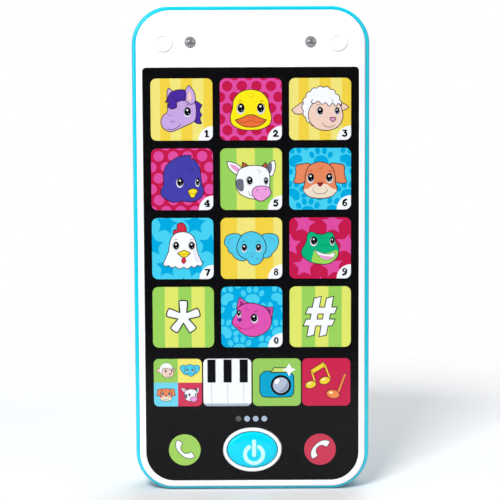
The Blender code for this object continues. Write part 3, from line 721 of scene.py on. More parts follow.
def door_hook(side):
    """A hook that reaches from under the door's bottom edge into its slot in the tub."""
    low, root = DOOR_LOW.z, DOOR_BOTTOM + GAP
    top = root + 2.2 * MM
    section = [(low, 8.1), (low, 9.1), (root, 9.1), (root, 10.0), (top, 10.0), (top, 8.1)]
    ends = (side * TAB_X - 2.5 * MM, side * TAB_X + 2.5 * MM)
    return [[Vector((x, y * MM, z)) for z, y in section] for x in ends]


# ---------------------------------------------------------------- keypad film


def print_half(node):
    """Half the size of a key's print, in millimetres, and its corner radius."""
    if node in KEY_NAMES:
        return KEY_HALF, 2.0
    if node in APP_NAMES:
        return APP_HALF, 1.7
    return CALL_PRINT, CALL_PRINT - 0.01


def print_outline(node, grow=0.0):
    """The outline of a key's print on the film, grown by a length."""
    half, radius = print_half(node)
    place = centre_of(node)
    size = 2 * (half * MM + grow)
    return rounded_rect(size, size, radius * MM + grow, place.x, place.z, steps=8)


def patch_margin(node):
    """How far the film that bends goes past a key's print."""
    return 0.1 * MM if node in APP_NAMES else 0.95 * MM


def film_patch(node, material):
    """The film on one key, with rings across the margin of its print."""
    margin = patch_margin(node)
    shares = [i / 4 for i in range(5)]
    outlines = [print_outline(node, margin * (1 - share)) for share in shares]
    rings = [at_depth(outline, FILM_TOP) for outline in reversed(outlines)]
    rings += [at_depth(outline, FILM_BACK) for outline in outlines]
    patch = solid(f"film_{node}", [rings], [material])
    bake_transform(patch)


def film_sheet(material):
    """The rest of the film: one sheet with a hole round each key's patch and the collar."""
    place = centre_of("power_button")
    holes = [oval(COLLAR_A + 0.15 * MM, COLLAR_B + 0.15 * MM, place.x, place.z)]
    for node in ALL_KEYS:
        holes.append(print_outline(node, patch_margin(node)))
    loops = [film_outline(), *holes]
    bm = bmesh.new()
    flat = [point for loop in loops for point in loop]
    front = [bm.verts.new((x, FILM_TOP, z)) for x, z in flat]
    back = [bm.verts.new((x, FILM_BACK, z)) for x, z in flat]
    for a, b, c in tessellate_polygon([[Vector((x, z, 0)) for x, z in loop] for loop in loops]):
        bm.faces.new((front[a], front[b], front[c]))
        bm.faces.new((back[c], back[b], back[a]))
    start = 0
    for loop in loops:
        for i in range(len(loop)):
            j = start + (i + 1) % len(loop)
            i += start
            bm.faces.new((front[i], front[j], back[j], back[i]))
        start += len(loop)
    bmesh.ops.recalc_face_normals(bm, faces=bm.faces)
    sheet = new_object("film_sheet", bm, [material])
    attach(sheet, ROOT)
    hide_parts("keypad_film")


# ---------------------------------------------------------------- drawing


def disc(x, y, rx, ry=None, tilt=0.0, steps=28):
    """An ellipse, turned by tilt degrees."""
    ry = rx if ry is None else ry
    c, s = math.cos(math.radians(tilt)), math.sin(math.radians(tilt))
    return [(x + u * c - v * s, y + u * s + v * c) for u, v in oval(rx, ry, steps=steps)]


def smooth(points, closed=True, steps=6):
    """A soft line through the points. A point with a third value is a sharp corner."""
    count = len(points)
    spans = count if closed else count - 1
    line = []
    for i in range(spans):
        b, c = points[i], points[(i + 1) % count]
        a = points[i - 1] if closed or i > 0 else b
        d = points[(i + 2) % count] if closed or i + 2 < count else c
        a = b if len(b) > 2 else a
        d = c if len(c) > 2 else d
        for step in range(steps):
            t = step / steps
            line.append(tuple(catmull_rom(a[k], b[k], c[k], d[k], t) for k in (0, 1)))
    if not closed:
        line.append(tuple(points[-1][:2]))
    return line


def catmull_rom(a, b, c, d, t):
    return 0.5 * (
        2 * b
        + (c - a) * t
        + (2 * a - 5 * b + 4 * c - d) * t**2
        + (3 * b - a - 3 * c + d) * t**3
    )


def mirrored(points):
    """A half drawn from top to bottom on the right, closed with its mirror image."""
    other = [(-p[0], *p[1:]) for p in reversed(points) if abs(p[0]) > 1e-6]
    return [*points, *other]


def normals(line, closed):
    """Unit vectors across a line, one at each point."""
    found = []
    count = len(line)
    for i, (x, y) in enumerate(line):
        before = line[i - 1] if closed or i > 0 else (x, y)
        after = line[(i + 1) % count] if closed or i + 1 < count else (x, y)
        dx, dy = after[0] - before[0], after[1] - before[1]
        length = math.hypot(dx, dy) or 1.0
        found.append((dy / length, -dx / length))
    return found


def area(outline):
    pairs = zip(outline, outline[1:] + outline[:1])
    return sum(a[0] * b[1] - b[0] * a[1] for a, b in pairs) / 2


def grown(outline, by):
    """An outline moved outwards."""
    by = by if area(outline) > 0 else -by
    moved = zip(outline, normals(outline, True))
    return [(x + nx * by, y + ny * by) for (x, y), (nx, ny) in moved]


def ribbon(line, width, taper=False):
    """The outline of a pen stroke along an open line, with round or pointed ends."""
    sides = ([], [])
    count = len(line) - 1
    for i, ((x, y), (nx, ny)) in enumerate(zip(line, normals(line, False))):
        share = math.sin(math.pi * i / count) if taper else 1.0
        half = width / 2 * max(share, 0.25)
        sides[0].append((x + nx * half, y + ny * half))
        sides[1].append((x - nx * half, y - ny * half))
    if taper:
        return sides[0] + sides[1][::-1]
    end, start = round_cap(line[-1], sides[0][-1]), round_cap(line[0], sides[1][0])
    return sides[0] + end + sides[1][::-1] + start


def round_cap(centre, start):
    """Half a turn round the end of a stroke, from one side to the other."""
    dx, dy = start[0] - centre[0], start[1] - centre[1]
    points = []
    for i in range(1, 6):
        angle = math.pi * i / 6
        c, s = math.cos(angle), math.sin(angle)
        points.append((centre[0] + dx * c - dy * s, centre[1] + dx * s + dy * c))
    return points


def clipped(outline, fence):
    """The part of an outline inside a convex fence that runs counter-clockwise."""
    for a, b in zip(fence, fence[1:] + fence[:1]):
        kept = []
        for p, q in zip(outline, outline[1:] + outline[:1]):
            side_p, side_q = side_of(a, b, p), side_of(a, b, q)
            if side_p >= 0:
                kept.append(p)
            if side_p * side_q < 0:
                t = side_p / (side_p - side_q)
                kept.append((p[0] + (q[0] - p[0]) * t, p[1] + (q[1] - p[1]) * t))
        outline = kept
        if len(outline) < 3:
            return []
    return outline


def side_of(a, b, p):
    """Above zero where p is on the left of the line from a to b."""
    return (b[0] - a[0]) * (p[1] - a[1]) - (b[1] - a[1]) * (p[0] - a[0])


def overlap(first, second):
    """Whether two boxes (left, right, bottom, top) have a part in common."""
    across = first[0] < second[1] and second[0] < first[1]
    return across and first[2] < second[3] and second[2] < first[3]


class Print:
    """The inks printed on one key: flat shapes, each above those that it overlaps."""

    def __init__(self, node):
        self.node = node
        half, radius = print_half(node)
        self.half = half
        self.edge = rounded_rect(2 * half, 2 * half, radius, steps=8)
        self.shapes = []
        self.scale, self.shift, self.turn = 1.0, (0.0, 0.0), 0.0

    def at(self, x, y, scale=1.0, turn=0.0):
        """Moves, scales and turns what is drawn next."""
        self.shift, self.scale, self.turn = (x, y), scale, math.radians(turn)
        return self

    def place(self, outline):
        c, s = math.cos(self.turn) * self.scale, math.sin(self.turn) * self.scale
        x0, y0 = self.shift
        return [(x0 + x * c - y * s, y0 + x * s + y * c) for x, y in outline]

    def fill(self, ink, outline, clip=False):
        outline = self.place(outline)
        if clip:
            outline = clipped(outline, self.edge)
        if len(outline) < 3:
            return
        xs, ys = [p[0] for p in outline], [p[1] for p in outline]
        span = (min(xs), max(xs), min(ys), max(ys))
        below = [level for _, _, other, level in self.shapes if overlap(span, other)]
        self.shapes.append((ink, outline, span, 1 + max(below, default=0)))

    def part(self, ink, points, line="line", width=LINE):
        """A soft closed shape with a fine line round it."""
        outline = smooth(points)
        width = width / self.scale**0.5
        self.fill(line, grown(outline, width / 2))
        self.fill(ink, grown(outline, -width / 2))

    def stroke(self, ink, points, width=LINE, taper=False, closed=False):
        line = smooth(points, closed)
        if closed:
            line.append(line[0])
        self.fill(ink, ribbon(line, width / self.scale**0.5, taper))

    def eye(self, x, y, rx, ry, look=0.0):
        """A big dark eye with a pale edge and two glints."""
        self.fill("line", disc(x, y + 0.12, rx + 0.07, ry + 0.1))
        self.fill("eye_white", disc(x, y - 0.04, rx, ry))
        self.fill("eye", disc(x + look, y + 0.16 * ry, rx * 0.86, ry * 0.82))
        self.fill("white", disc(x + look - 0.05 * rx, y + 0.5 * ry, rx * 0.26, ry * 0.2))
        self.fill("glint", disc(x + look + 0.2 * rx, y - 0.25 * ry, rx * 0.1, ry * 0.08))

    def make(self, inks):
        """One mesh with a thin closed slab for each shape."""
        place = centre_of(self.node)
        bm = bmesh.new()
        used = []
        for ink, outline, _, level in self.shapes:
            if ink not in used:
                used.append(ink)
            if area(outline) < 0:
                outline = outline[::-1]
            for face in add_slab(bm, outline, place, level):
                face.material_index = used.index(ink)
        made = new_object(f"print_{self.node}", bm, [inks[ink] for ink in used])
        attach(made, self.node)


def add_slab(bm, outline, place, level):
    """One step of ink above the film, or above the inks below it."""
    sides = []
    for y in (FILM_TOP - level * INK_STEP, FILM_TOP - (level - 1) * INK_STEP):
        points = [(place.x + u * MM, y, place.z + v * MM) for u, v in outline]
        sides.append([bm.verts.new(point) for point in points])
    front, back = sides
    faces = []
    for a, b, c in tessellate_polygon([[Vector((u, v, 0)) for u, v in outline]]):
        faces.append(bm.faces.new((front[a], front[b], front[c])))
        faces.append(bm.faces.new((back[c], back[b], back[a])))
    for i in range(len(outline)):
        j = (i + 1) % len(outline)
        faces.append(bm.faces.new((front[i], back[i], back[j], front[j])))
    bmesh.ops.recalc_face_normals(bm, faces=faces)
    return faces


# ---------------------------------------------------------------- backgrounds and marks


def paint_ground(p, ink):
    p.at(0, 0).fill(ink, p.edge)


def paint_stripes(p, edges, first, second):
    """Upright stripes, split at the given places."""
    places = [-p.half, *edges, p.half]
    for i, (left, right) in enumerate(zip(places, places[1:])):
        bar = [(left, -p.half), (right, -p.half), (right, p.half), (left, p.half)]
        p.at(0, 0).fill(second if i % 2 else first, bar, clip=True)


def paint_lattice(p, pitch_x, pitch_y, shift, draw):
    """Draws at each place of a staggered lattice that comes near the key."""
    rows = int(p.half / pitch_y) + 2
    columns = int(p.half / pitch_x) + 2
    for row in range(-rows, rows + 1):
        for column in range(-columns, columns + 1):
            x = (column + (row % 2) / 2) * pitch_x + shift[0]
            y = row * pitch_y + shift[1]
            if max(abs(x), abs(y)) < p.half + 3.5:
                draw(x, y, row, column)
    p.at(0, 0)


def paint_dots(p, ground, ink):
    paint_ground(p, ground)

    def draw(x, y, *_):
        p.fill(ink, disc(x, y, 1.75), clip=True)

    paint_lattice(p, 4.9, 3.7, (1.9, 0.4), draw)


def paint_stars(p, ground, ink):
    paint_ground(p, ground)
    star = []
    for i in range(10):
        angle = math.radians(90 + 36 * i)
        radius = 3.9 if i % 2 == 0 else 2.1
        point = (radius * math.cos(angle), radius * math.sin(angle))
        star.append((*point, CORNER) if i % 2 == 0 else point)
    soft = smooth(star, steps=4)

    def draw(x, y, row, column):
        p.at(x, y, turn=12 * ((row + column) % 3 - 1)).fill(ink, soft, clip=True)

    paint_lattice(p, 9.6, 7.3, (-5.4, 8.4), draw)


def paint_paws(p, ground, ink):
    paint_ground(p, ground)
    half_pad = [(0, 1.3), (1.5, 0.9), (2.5, -0.7), (1.5, -2.0), (0, -1.5)]
    pad = smooth(mirrored(half_pad))
    toes = [(-3.1, 1.5, 24), (-1.15, 2.8, 8), (1.15, 2.8, -8), (3.1, 1.5, -24)]

    def draw(x, y, row, column):
        p.at(x, y, turn=38 * ((row + 2 * column) % 3 - 1))
        p.fill(ink, pad, clip=True)
        for u, v, tilt in toes:
            p.fill(ink, disc(u, v, 0.85, 1.15, tilt), clip=True)

    paint_lattice(p, 9.0, 5.7, (-4.2, 0.9), draw)


def paint_corner(p, digit):
    """The white quarter in the key's corner, with the key's number."""
    centre = (p.half, -p.half)
    p.at(0, 0).fill("white", disc(*centre, 4.85, steps=48), clip=True)
    draw_digit(p.at(p.half - 2.1, -p.half + 2.3, 0.93), digit)
    p.at(0, 0)


def numeral(digit):
    """A bold numeral 2.4 mm tall: pen strokes (points, width) and rings (y, size, hole)."""
    thick, thin, foot = 0.74, 0.5, 0.44
    hook = [(-0.58, -0.3), (-0.3, 0.7), (0.55, 1.1)]
    strokes = {
        "1": [([(-0.5, 0.7), (0.1, 1.1)], thin), ([(0.12, 0.95), (0.12, -1.0)], thick)],
        "2": [([(-0.65, 0.5), (-0.1, 1.0), (0.5, 0.6), (0.2, -0.2), (-0.6, -0.95)], 0.66)],
        "3": [
            ([(-0.7, 0.98), (0.6, 0.98)], thin),
            ([(0.6, 0.95), (0.0, 0.25)], thin),
            ([(-0.1, 0.2), (0.5, 0.05), (0.6, -0.55), (0.1, -1.05), (-0.7, -0.85)], 0.64),
        ],
        "4": [
            ([(0.35, 1.1), (-0.85, -0.35)], thin),
            ([(-0.85, -0.38), (1.0, -0.38)], thin),
            ([(0.4, 0.95), (0.4, -1.0)], thick),
        ],
        "5": [
            ([(-0.5, 1.0), (0.75, 1.0)], thin),
            ([(-0.5, 1.0), (-0.55, 0.2)], thin),
            ([(-0.55, 0.25), (0.25, 0.3), (0.6, -0.35), (0.2, -0.98), (-0.7, -0.85)], 0.66),
        ],
        "6": [(hook, thick)],
        "7": [([(-0.8, 0.95), (0.8, 0.95)], 0.6), ([(0.65, 0.85), (-0.1, -1.0)], thick)],
        "9": [([(-x, -y) for x, y in hook], thick)],
    }
    if digit in "14":
        strokes[digit].append(([(-0.35, -1.12), (0.85, -1.12)], foot))
    if digit == "2":
        strokes[digit].append(([(-0.65, -1.0), (0.9, -1.0)], 0.58))
    rings = {
        "0": [(0, (0.88, 1.28), (0.24, 0.72))],
        "6": [(-0.5, (0.9, 0.82), (0.3, 0.34))],
        "8": [(0.62, (0.72, 0.68), (0.24, 0.24)), (-0.52, (0.88, 0.8), (0.32, 0.32))],
        "9": [(0.5, (0.9, 0.82), (0.3, 0.34))],
    }
    return strokes.get(digit, []), rings.get(digit, [])


def draw_digit(p, digit):
    strokes, rings = numeral(digit)
    for points, width in strokes:
        if len(points) == 2:
            points = [(*point, CORNER) for point in points]
        p.stroke("black", points, width)
    for y, size, _ in rings:
        p.fill("black", disc(0, y, *size))
    for y, _, hole in rings:
        p.fill("white", disc(0, y, *hole))


# ---------------------------------------------------------------- animal heads


def brow(p, x, y, side=1):
    arch = [(x - 0.9 * side, y), (x, y + 0.45), (x + 0.8 * side, y + 0.2)]
    p.stroke("line", arch, 0.16, taper=True)


def draw_horse(p):
    mane = [
        (3.2, 3.2), (5.2, 2.7), (6.9, 1.5, CORNER), (6.1, -0.4), (6.9, -1.8, CORNER),
        (6.2, -3.0), (6.8, -4.8, CORNER), (4.8, -4.5), (3.4, -2),
    ]
    p.part("violet", mane)
    p.part("lavender", [(-4.6, 3.4), (-4.8, 6.2), (-4.2, 7.2, CORNER), (-2.6, 5.8), (-2.3, 4.0)])
    head = [
        (-3.8, 4.4), (0, 5.3), (3.2, 4.6), (4.7, 1.6), (4.9, -1.5), (4.3, -3.9), (1.8, -5.2),
        (-0.8, -6.4), (-3.6, -7.4), (-6.0, -6.4), (-7.0, -4.2), (-6.2, -2.0), (-4.8, -0.8),
        (-4.7, 1.6),
    ]
    p.part("lavender", head)
    ear = [
        (1.1, 3.6), (1.3, 6.4), (2.5, 8.2, CORNER), (4.2, 6.0), (4.7, 3.2), (3.6, 1.8),
        (2.2, 2.2),
    ]
    p.part("lavender", ear)
    inner_ear = [(2.1, 3.6), (2.2, 5.0), (2.7, 6.3, CORNER), (3.3, 4.8), (3.3, 3.4), (2.7, 2.8)]
    p.fill("blush", smooth(inner_ear))
    forelock = [
        (1.3, 6.3), (-1.2, 6.6), (-3.6, 5.7), (-4.7, 3.9), (-5.4, 2.3, CORNER), (-4.2, 2.7),
        (-4.5, 1.0), (-3.2, 0.2), (-1.7, 0.8), (-1.6, 2.3), (-0.2, 3.0), (1.3, 3.3),
    ]
    p.part("violet", forelock)
    p.stroke("line", [(-3.6, 4.6), (-2.2, 3.8), (-1.9, 2.6)], 0.14, taper=True)
    p.eye(1.9, -1.0, 1.25, 1.6, 0.1)
    brow(p, 2.1, 1.2)
    p.stroke("line", [(-3.6, -3.8), (-3.0, -4.2), (-2.4, -3.8)], 0.18)
    p.stroke("line", [(-4.4, -1.8), (-3.4, -2.2)], 0.14)
    p.stroke("line", [(-4.8, -6.4), (-3.2, -6.7), (-1.6, -6.1), (-0.4, -4.9)], 0.18)


def draw_duck(p):
    half_head = [
        (0, 6.6), (3.4, 5.8), (5.7, 3.3), (6.2, 0.2), (6.9, -2.6), (6.2, -5.2), (3.4, -6.7),
        (0, -7.0),
    ]
    p.part("duck_yellow", mirrored(half_head))
    tuft = [(0.2, 5.9), (0.9, 5.0), (0.3, 4.1), (-0.7, 4.5), (-0.5, 5.2)]
    p.stroke("orange", tuft, 0.17, taper=True)
    for side in (-1, 1):
        p.eye(side * 3.4, 0.1, 1.3, 1.75, -0.1 * side)
        brow(p, side * 3.7, 2.4, -side)
    half_beak = [
        (0, -1.8), (1.5, -2.1), (3.2, -2.9), (5.3, -3.6, CORNER), (4.0, -4.9), (2, -5.8),
        (0, -6.0),
    ]
    p.part("beak_orange", mirrored(half_beak))
    p.stroke("rust", [(-4.6, -3.9), (-2.4, -4.4), (0, -3.8), (2.4, -4.4), (4.6, -3.9)], 0.2)
    for side in (-1, 1):
        p.stroke("rust", [(side * 0.5, -2.5), (side * 0.9, -2.9)], 0.2)


def draw_sheep(p):
    left_ear = [
        (-3.4, 2.2), (-6.0, 2.2), (-9.6, -0.2, CORNER), (-8.2, -1.6), (-5.6, -1.5),
        (-3.6, -0.2),
    ]
    p.part("peach", left_ear)
    p.part("peach", [(6.6, 2.0), (8.4, 1.6), (9.7, 0.6, CORNER), (8.6, -0.2), (6.8, -0.4)])
    p.part("white", cloud(0.6, 0.6, 6.3, 6.6, 17, 0.42))
    face = [
        (2, 3.4), (5.6, 2.6), (7.4, -0.4), (7.6, -3.2), (6, -6.0), (2.6, -7.2), (-1, -6.6),
        (-3.5, -4.2), (-3.9, -1.2), (-2.4, 1.8),
    ]
    p.part("peach", face)
    fringe = [
        (-2.9, 2.2), (-1.8, 4.2), (1, 5.2), (4.4, 4.8), (6.8, 2.8), (7.2, 1.4), (6.0, 1.8),
        (5.3, 0.9), (4.2, 1.9), (3.0, 0.9), (1.9, 2.1), (0.6, 1.5), (-0.6, 2.6), (-1.8, 1.9),
    ]
    p.part("white", fringe)
    wool = [(-2.4, 2.6), (-1.8, 5.2), (1, 6.0), (4.6, 5.4), (6.4, 3.2), (4, 3.0), (1, 3.2)]
    p.fill("white", smooth(wool))
    p.stroke("line", [(3.4, 3.6), (4.2, 3.2), (4.4, 2.5), (3.8, 2.3), (3.5, 2.8)], 0.15, taper=True)
    p.eye(-0.1, -0.9, 1.05, 1.4, 0.12)
    p.eye(5.7, -0.9, 0.8, 1.25, 0.05)
    p.part("rose", [(3.3, -3.1), (4.3, -2.8), (5.3, -3.1), (4.8, -4.0), (4.3, -4.3), (3.8, -4.0)])
    p.stroke("line", [(0.8, -4.7), (1.7, -5.8), (3.4, -6.1), (4.8, -5.4)], 0.18)
    brow(p, -0.6, 1.0, -1)


def cloud(x, y, rx, ry, bumps, depth):
    """Points of a scalloped ring, as fleece has: the dips are corners."""
    points = []
    for i in range(bumps * 3):
        angle = 2 * math.pi * i / (bumps * 3)
        dip = i % 3 == 0
        reach = 0.0 if dip else depth
        point = (x + (rx + reach) * math.cos(angle), y + (ry + reach) * math.sin(angle))
        points.append((*point, CORNER) if dip else point)
    return points


def draw_bird(p):
    body = [
        (-2.6, 6.9), (0.4, 8.0), (3.3, 8.1, CORNER), (2.9, 7.1), (4.4, 6.4), (5.9, 3.9),
        (6.4, 0.6), (6.7, -1.8), (7.3, -4.0), (6.1, -6.4), (3.4, -7.6), (0, -7.4), (-3.2, -7.7),
        (-6.3, -6.2), (-7.4, -4.2), (-6.3, -1.8), (-6.3, 1.8), (-5.2, 4.8),
    ]
    p.part("indigo", body)
    tuft = [(1.0, 4.4), (2.2, 3.4), (3.4, 3.6), (3.6, 2.6), (2.6, 2.3)]
    p.stroke("deep_indigo", tuft, 0.2, taper=True)
    p.eye(-0.8, -1.2, 1.25, 1.6, 0.15)
    p.eye(5.2, -1.1, 0.75, 1.45, 0.05)
    brow(p, -1.0, 1.4, -1)
    beak = [
        (1.8, -4.0, CORNER), (3.3, -3.1), (4.8, -3.4), (5.2, -4.3), (4.5, -5.1), (4.2, -6.0),
        (3.0, -6.2), (2.4, -5.2),
    ]
    p.part("yellow", beak)
    p.stroke("ochre", [(2.2, -4.5), (3.6, -4.8), (4.9, -4.4)], 0.18)


def draw_cow(p):
    left_ear = [
        (-4.6, 1.4), (-7.3, 3.4), (-8.2, 6.0, CORNER), (-5.4, 5.4), (-3.2, 3.8), (-3.0, 2.2),
    ]
    p.part("white", left_ear)
    inner_ear = [(-4.6, 2.4), (-6.6, 3.9), (-7.3, 5.2, CORNER), (-5.2, 4.5), (-3.8, 3.2)]
    p.fill("rose", smooth(inner_ear))
    right_ear = [(5.4, 3.6), (6.3, 5.5), (7.9, 6.3, CORNER), (8.2, 4.0), (7.3, 1.2), (6.0, 1.4)]
    p.part("white", right_ear)
    ear_patch = [(5.3, 3.4), (5.9, 5.0), (6.9, 5.4), (7.0, 3.4), (6.4, 1.9), (5.6, 2.2)]
    p.fill("slate", smooth(ear_patch))
    p.part("horn", [(-2.9, 3.4), (-2.9, 5.7, CORNER), (-1.5, 5.0), (-0.9, 3.8)])
    p.part("horn", [(3.1, 3.7), (4.9, 5.6, CORNER), (5.4, 4.4), (4.6, 3.2)])
    head = [
        (-3.4, 3.6), (0, 4.6), (3.6, 4.3), (5.7, 3), (6.3, 0), (6, -3), (4.4, -6.4),
        (0.4, -6.7), (-3.2, -5.4), (-4.9, -3.2), (-5.2, -0.4), (-4.6, 2),
    ]
    p.part("white", head)
    patch = [(-4.9, -0.2), (-2.9, -0.1), (-2.5, -1.6), (-2.6, -3.7), (-3.8, -4.1), (-4.9, -2.6)]
    p.fill("slate", smooth(patch))
    muzzle = [
        (0.5, -3.6), (2.0, -2.5), (4.6, -2.4), (6.3, -3.3), (6.6, -5.2), (5.1, -6.7),
        (3.4, -7.5), (1.7, -6.9), (0.4, -5.4),
    ]
    p.part("pink", muzzle)
    p.fill("line", disc(2.0, -3.7, 0.28, 0.18))
    p.fill("line", disc(4.9, -3.5, 0.25, 0.17))
    p.stroke("line", [(-0.8, -4.0), (-0.6, -5.1), (0.3, -5.8)], 0.16)
    p.stroke("line", [(1.8, 3.2), (3.0, 2.6), (2.6, 1.6)], 0.15, taper=True)
    p.eye(-0.6, -0.8, 1.1, 1.5, 0.12)
    p.eye(5.0, -0.9, 0.72, 1.3, 0.05)


def draw_dog(p):
    for side in (-1, 1):
        ear = [
            (3.4, 5.0), (6.2, 5.0), (8.1, 4.4), (8.2, 1.8), (9.0, -1.3, CORNER), (7, -1.6),
            (5.2, -0.9), (4.4, 1.4),
        ]
        p.part("tan", [(x * side, *rest) for x, *rest in ear])
    half_head = [(0, 5.7), (3.4, 4.6), (4.9, 1.8), (5.2, -1.4), (5.7, -3.8), (3.8, -6), (0, -6.7)]
    p.part("tan", mirrored(half_head))
    half_muzzle = [
        (0, -1.7), (2.2, -1.9), (3.8, -3.1), (5.5, -3.7), (5.2, -4.6), (3.6, -5.9), (0, -6.5),
    ]
    p.fill("cream", smooth(mirrored(half_muzzle)))
    p.stroke("rust", [(0.1, 4.9), (0.8, 4.0), (0.1, 3.2), (-0.7, 3.6)], 0.16, taper=True)
    for side in (-1, 1):
        p.eye(side * 3.2, 0.1, 1.2, 1.6, -0.08 * side)
        brow(p, side * 3.3, 2.3, -side)
        p.fill("rust", disc(side * 1.9, -3.0, 0.14))
        p.fill("rust", disc(side * 2.5, -3.5, 0.14))
    p.part("wine", mirrored([(0, -1.3), (1.0, -1.4), (0.5, -2.3), (0, -2.6)]), width=0.12)
    p.stroke("line", [(-2.5, -3.9), (-1.5, -4.9), (0, -5.1), (1.5, -4.9), (2.5, -3.9)], 0.18)


def draw_chicken(p):
    comb = [
        (-2.9, 4.0), (-3.0, 6.2), (-1.9, 6.6), (-1.8, 8.2), (-0.2, 8.8), (1.0, 7.6), (1.3, 5.2),
        (0.4, 4.0),
    ]
    p.part("comb_red", comb)
    hem = [
        (6.8, -5.3, CORNER), (5.9, -6.0), (4.9, -5.6, CORNER), (4.0, -6.5), (2.8, -6.0, CORNER),
        (1.6, -6.9), (0.2, -6.3, CORNER), (-1.2, -6.9), (-2.6, -6.1, CORNER), (-3.8, -6.5),
        (-4.9, -5.7, CORNER), (-5.9, -6.0), (-6.8, -5.3, CORNER),
    ]
    body = [
        (0, 5.7), (2.8, 4.9), (4.4, 2.4), (4.9, -0.8), (5.9, -3.4), *hem, (-5.9, -3.4),
        (-4.8, -0.8), (-4.3, 2.4), (-2.8, 4.9),
    ]
    p.part("white", body)
    p.fill("shade", smooth([(3.4, 3.4), (4.2, 0), (5.6, -4.2), (4.6, -4.8), (3.6, -1.6)]))
    for x in (-2.3, 3.0):
        p.eye(x, 0.7, 1.1, 1.45, 0.06)
        brow(p, x, 2.7)
    beak = [
        (-1.8, -1.6, CORNER), (-0.6, -1.0), (0.4, -0.6), (1.6, -1.0), (2.6, -1.6, CORNER),
        (1.4, -2.7), (0.4, -3.0), (-0.7, -2.6),
    ]
    p.part("yellow", beak)
    p.stroke("ochre", [(-1.4, -1.8), (0.4, -2.0), (2.1, -1.8)], 0.18)
    wattle = [(0.3, -2.9), (1.0, -3.7), (0.9, -4.7), (0.3, -5.1), (-0.4, -4.6), (-0.3, -3.6)]
    p.part("comb_red", wattle, width=0.14)


def draw_elephant(p):
    left_ear = [
        (-3.0, 4.0), (-5.6, 5.0), (-8.4, 4.2), (-9.2, 1.8), (-8.1, 0.2), (-7.7, -1.2),
        (-6.6, -1.9), (-5.6, -3.3), (-3.6, -4.2), (-1.8, -3.8), (-2, 0),
    ]
    p.part("sky", left_ear)
    right_ear = [
        (3.0, 4.0), (5.6, 5.0), (8.4, 4.5), (9.3, 2.4), (8.5, -0.2), (7.2, -1.6), (6.4, -2.8),
        (4.6, -3.4), (3.0, -2.8), (2, 0),
    ]
    p.part("sky", right_ear)
    head = [
        (0, 5.7), (3.2, 4.5), (4.8, 1.6), (4.9, -0.6), (4.0, -2.4), (3.9, -3.8), (2.4, -5.3),
        (0.7, -5.7), (-0.8, -5.0), (-1.6, -3.8), (-3.6, -2.8), (-4.9, -0.6), (-4.6, 2),
        (-3, 4.6),
    ]
    p.part("sky", head)
    for side in (-1, 1):
        fold = [(side * 5.2, 3.8), (side * 7.4, 3.2), (side * 7.8, 1.4)]
        p.stroke("blue", fold, 0.18, taper=True)
        p.eye(side * 2.45, 0.0, 1.0, 1.35, -0.05 * side)
        brow(p, side * 2.5, 2.0, -side)
    for y in (-1.7, -2.5):
        p.stroke("blue", [(-0.8, y), (0.2, y - 0.25), (1.2, y)], 0.16, taper=True)
    p.stroke("blue", disc(2.0, -3.7, 0.42, 0.32, steps=8), 0.15, closed=True)
    p.stroke("blue", disc(3.2, -3.6, 0.36, 0.28, steps=8), 0.15, closed=True)


def draw_frog(p):
    head = [
        (-4.4, 4.4), (-3.4, 5.5), (-2.0, 5.3), (-1.0, 4.8), (1.2, 4.7), (2.4, 5.3), (3.9, 5.2),
        (4.8, 4.0), (5.2, 2.2), (6.0, 0.6), (6.3, -0.9), (5.6, -3.4), (3, -5.3), (0, -5.5),
        (-3.4, -4.7), (-6, -2.8), (-6.3, -0.8), (-5.0, 1.6), (-4.6, 3.0),
    ]
    p.part("green", head)
    chin = [
        (-2.0, -0.6, CORNER), (1.2, -2.0), (5.4, -0.7, CORNER), (6.0, -1.5), (5.4, -3.3),
        (3, -5.15), (0, -5.3), (-3.0, -4.7, CORNER), (-2.5, -2.6),
    ]
    p.fill("lime", smooth(chin))
    mouth = [
        (-2.0, -0.6, CORNER), (0.2, -1.6), (2.6, -2.1), (5.2, -1.5, CORNER), (4.4, -3.3),
        (2.4, -4.1), (0.2, -3.3),
    ]
    p.part("white", mouth, width=0.16)
    tongue = [
        (-0.4, -2.4), (1.0, -2.6), (3.0, -2.9), (4.4, -2.9), (3.6, -3.6), (2.2, -3.9),
        (0.6, -3.3),
    ]
    p.fill("rose", smooth(tongue))
    p.stroke("pine", [(0.4, 3.7), (0.8, 3.4)], 0.2)
    p.stroke("pine", [(2.2, 3.7), (1.9, 3.4)], 0.2)
    p.stroke("pine", [(-0.6, 1.2), (1.2, 0.8), (3.0, 1.2)], 0.16, taper=True)
    p.eye(-2.2, 2.2, 1.25, 1.55, 0.12)
    p.eye(4.1, 2.2, 0.8, 1.35, 0.05)


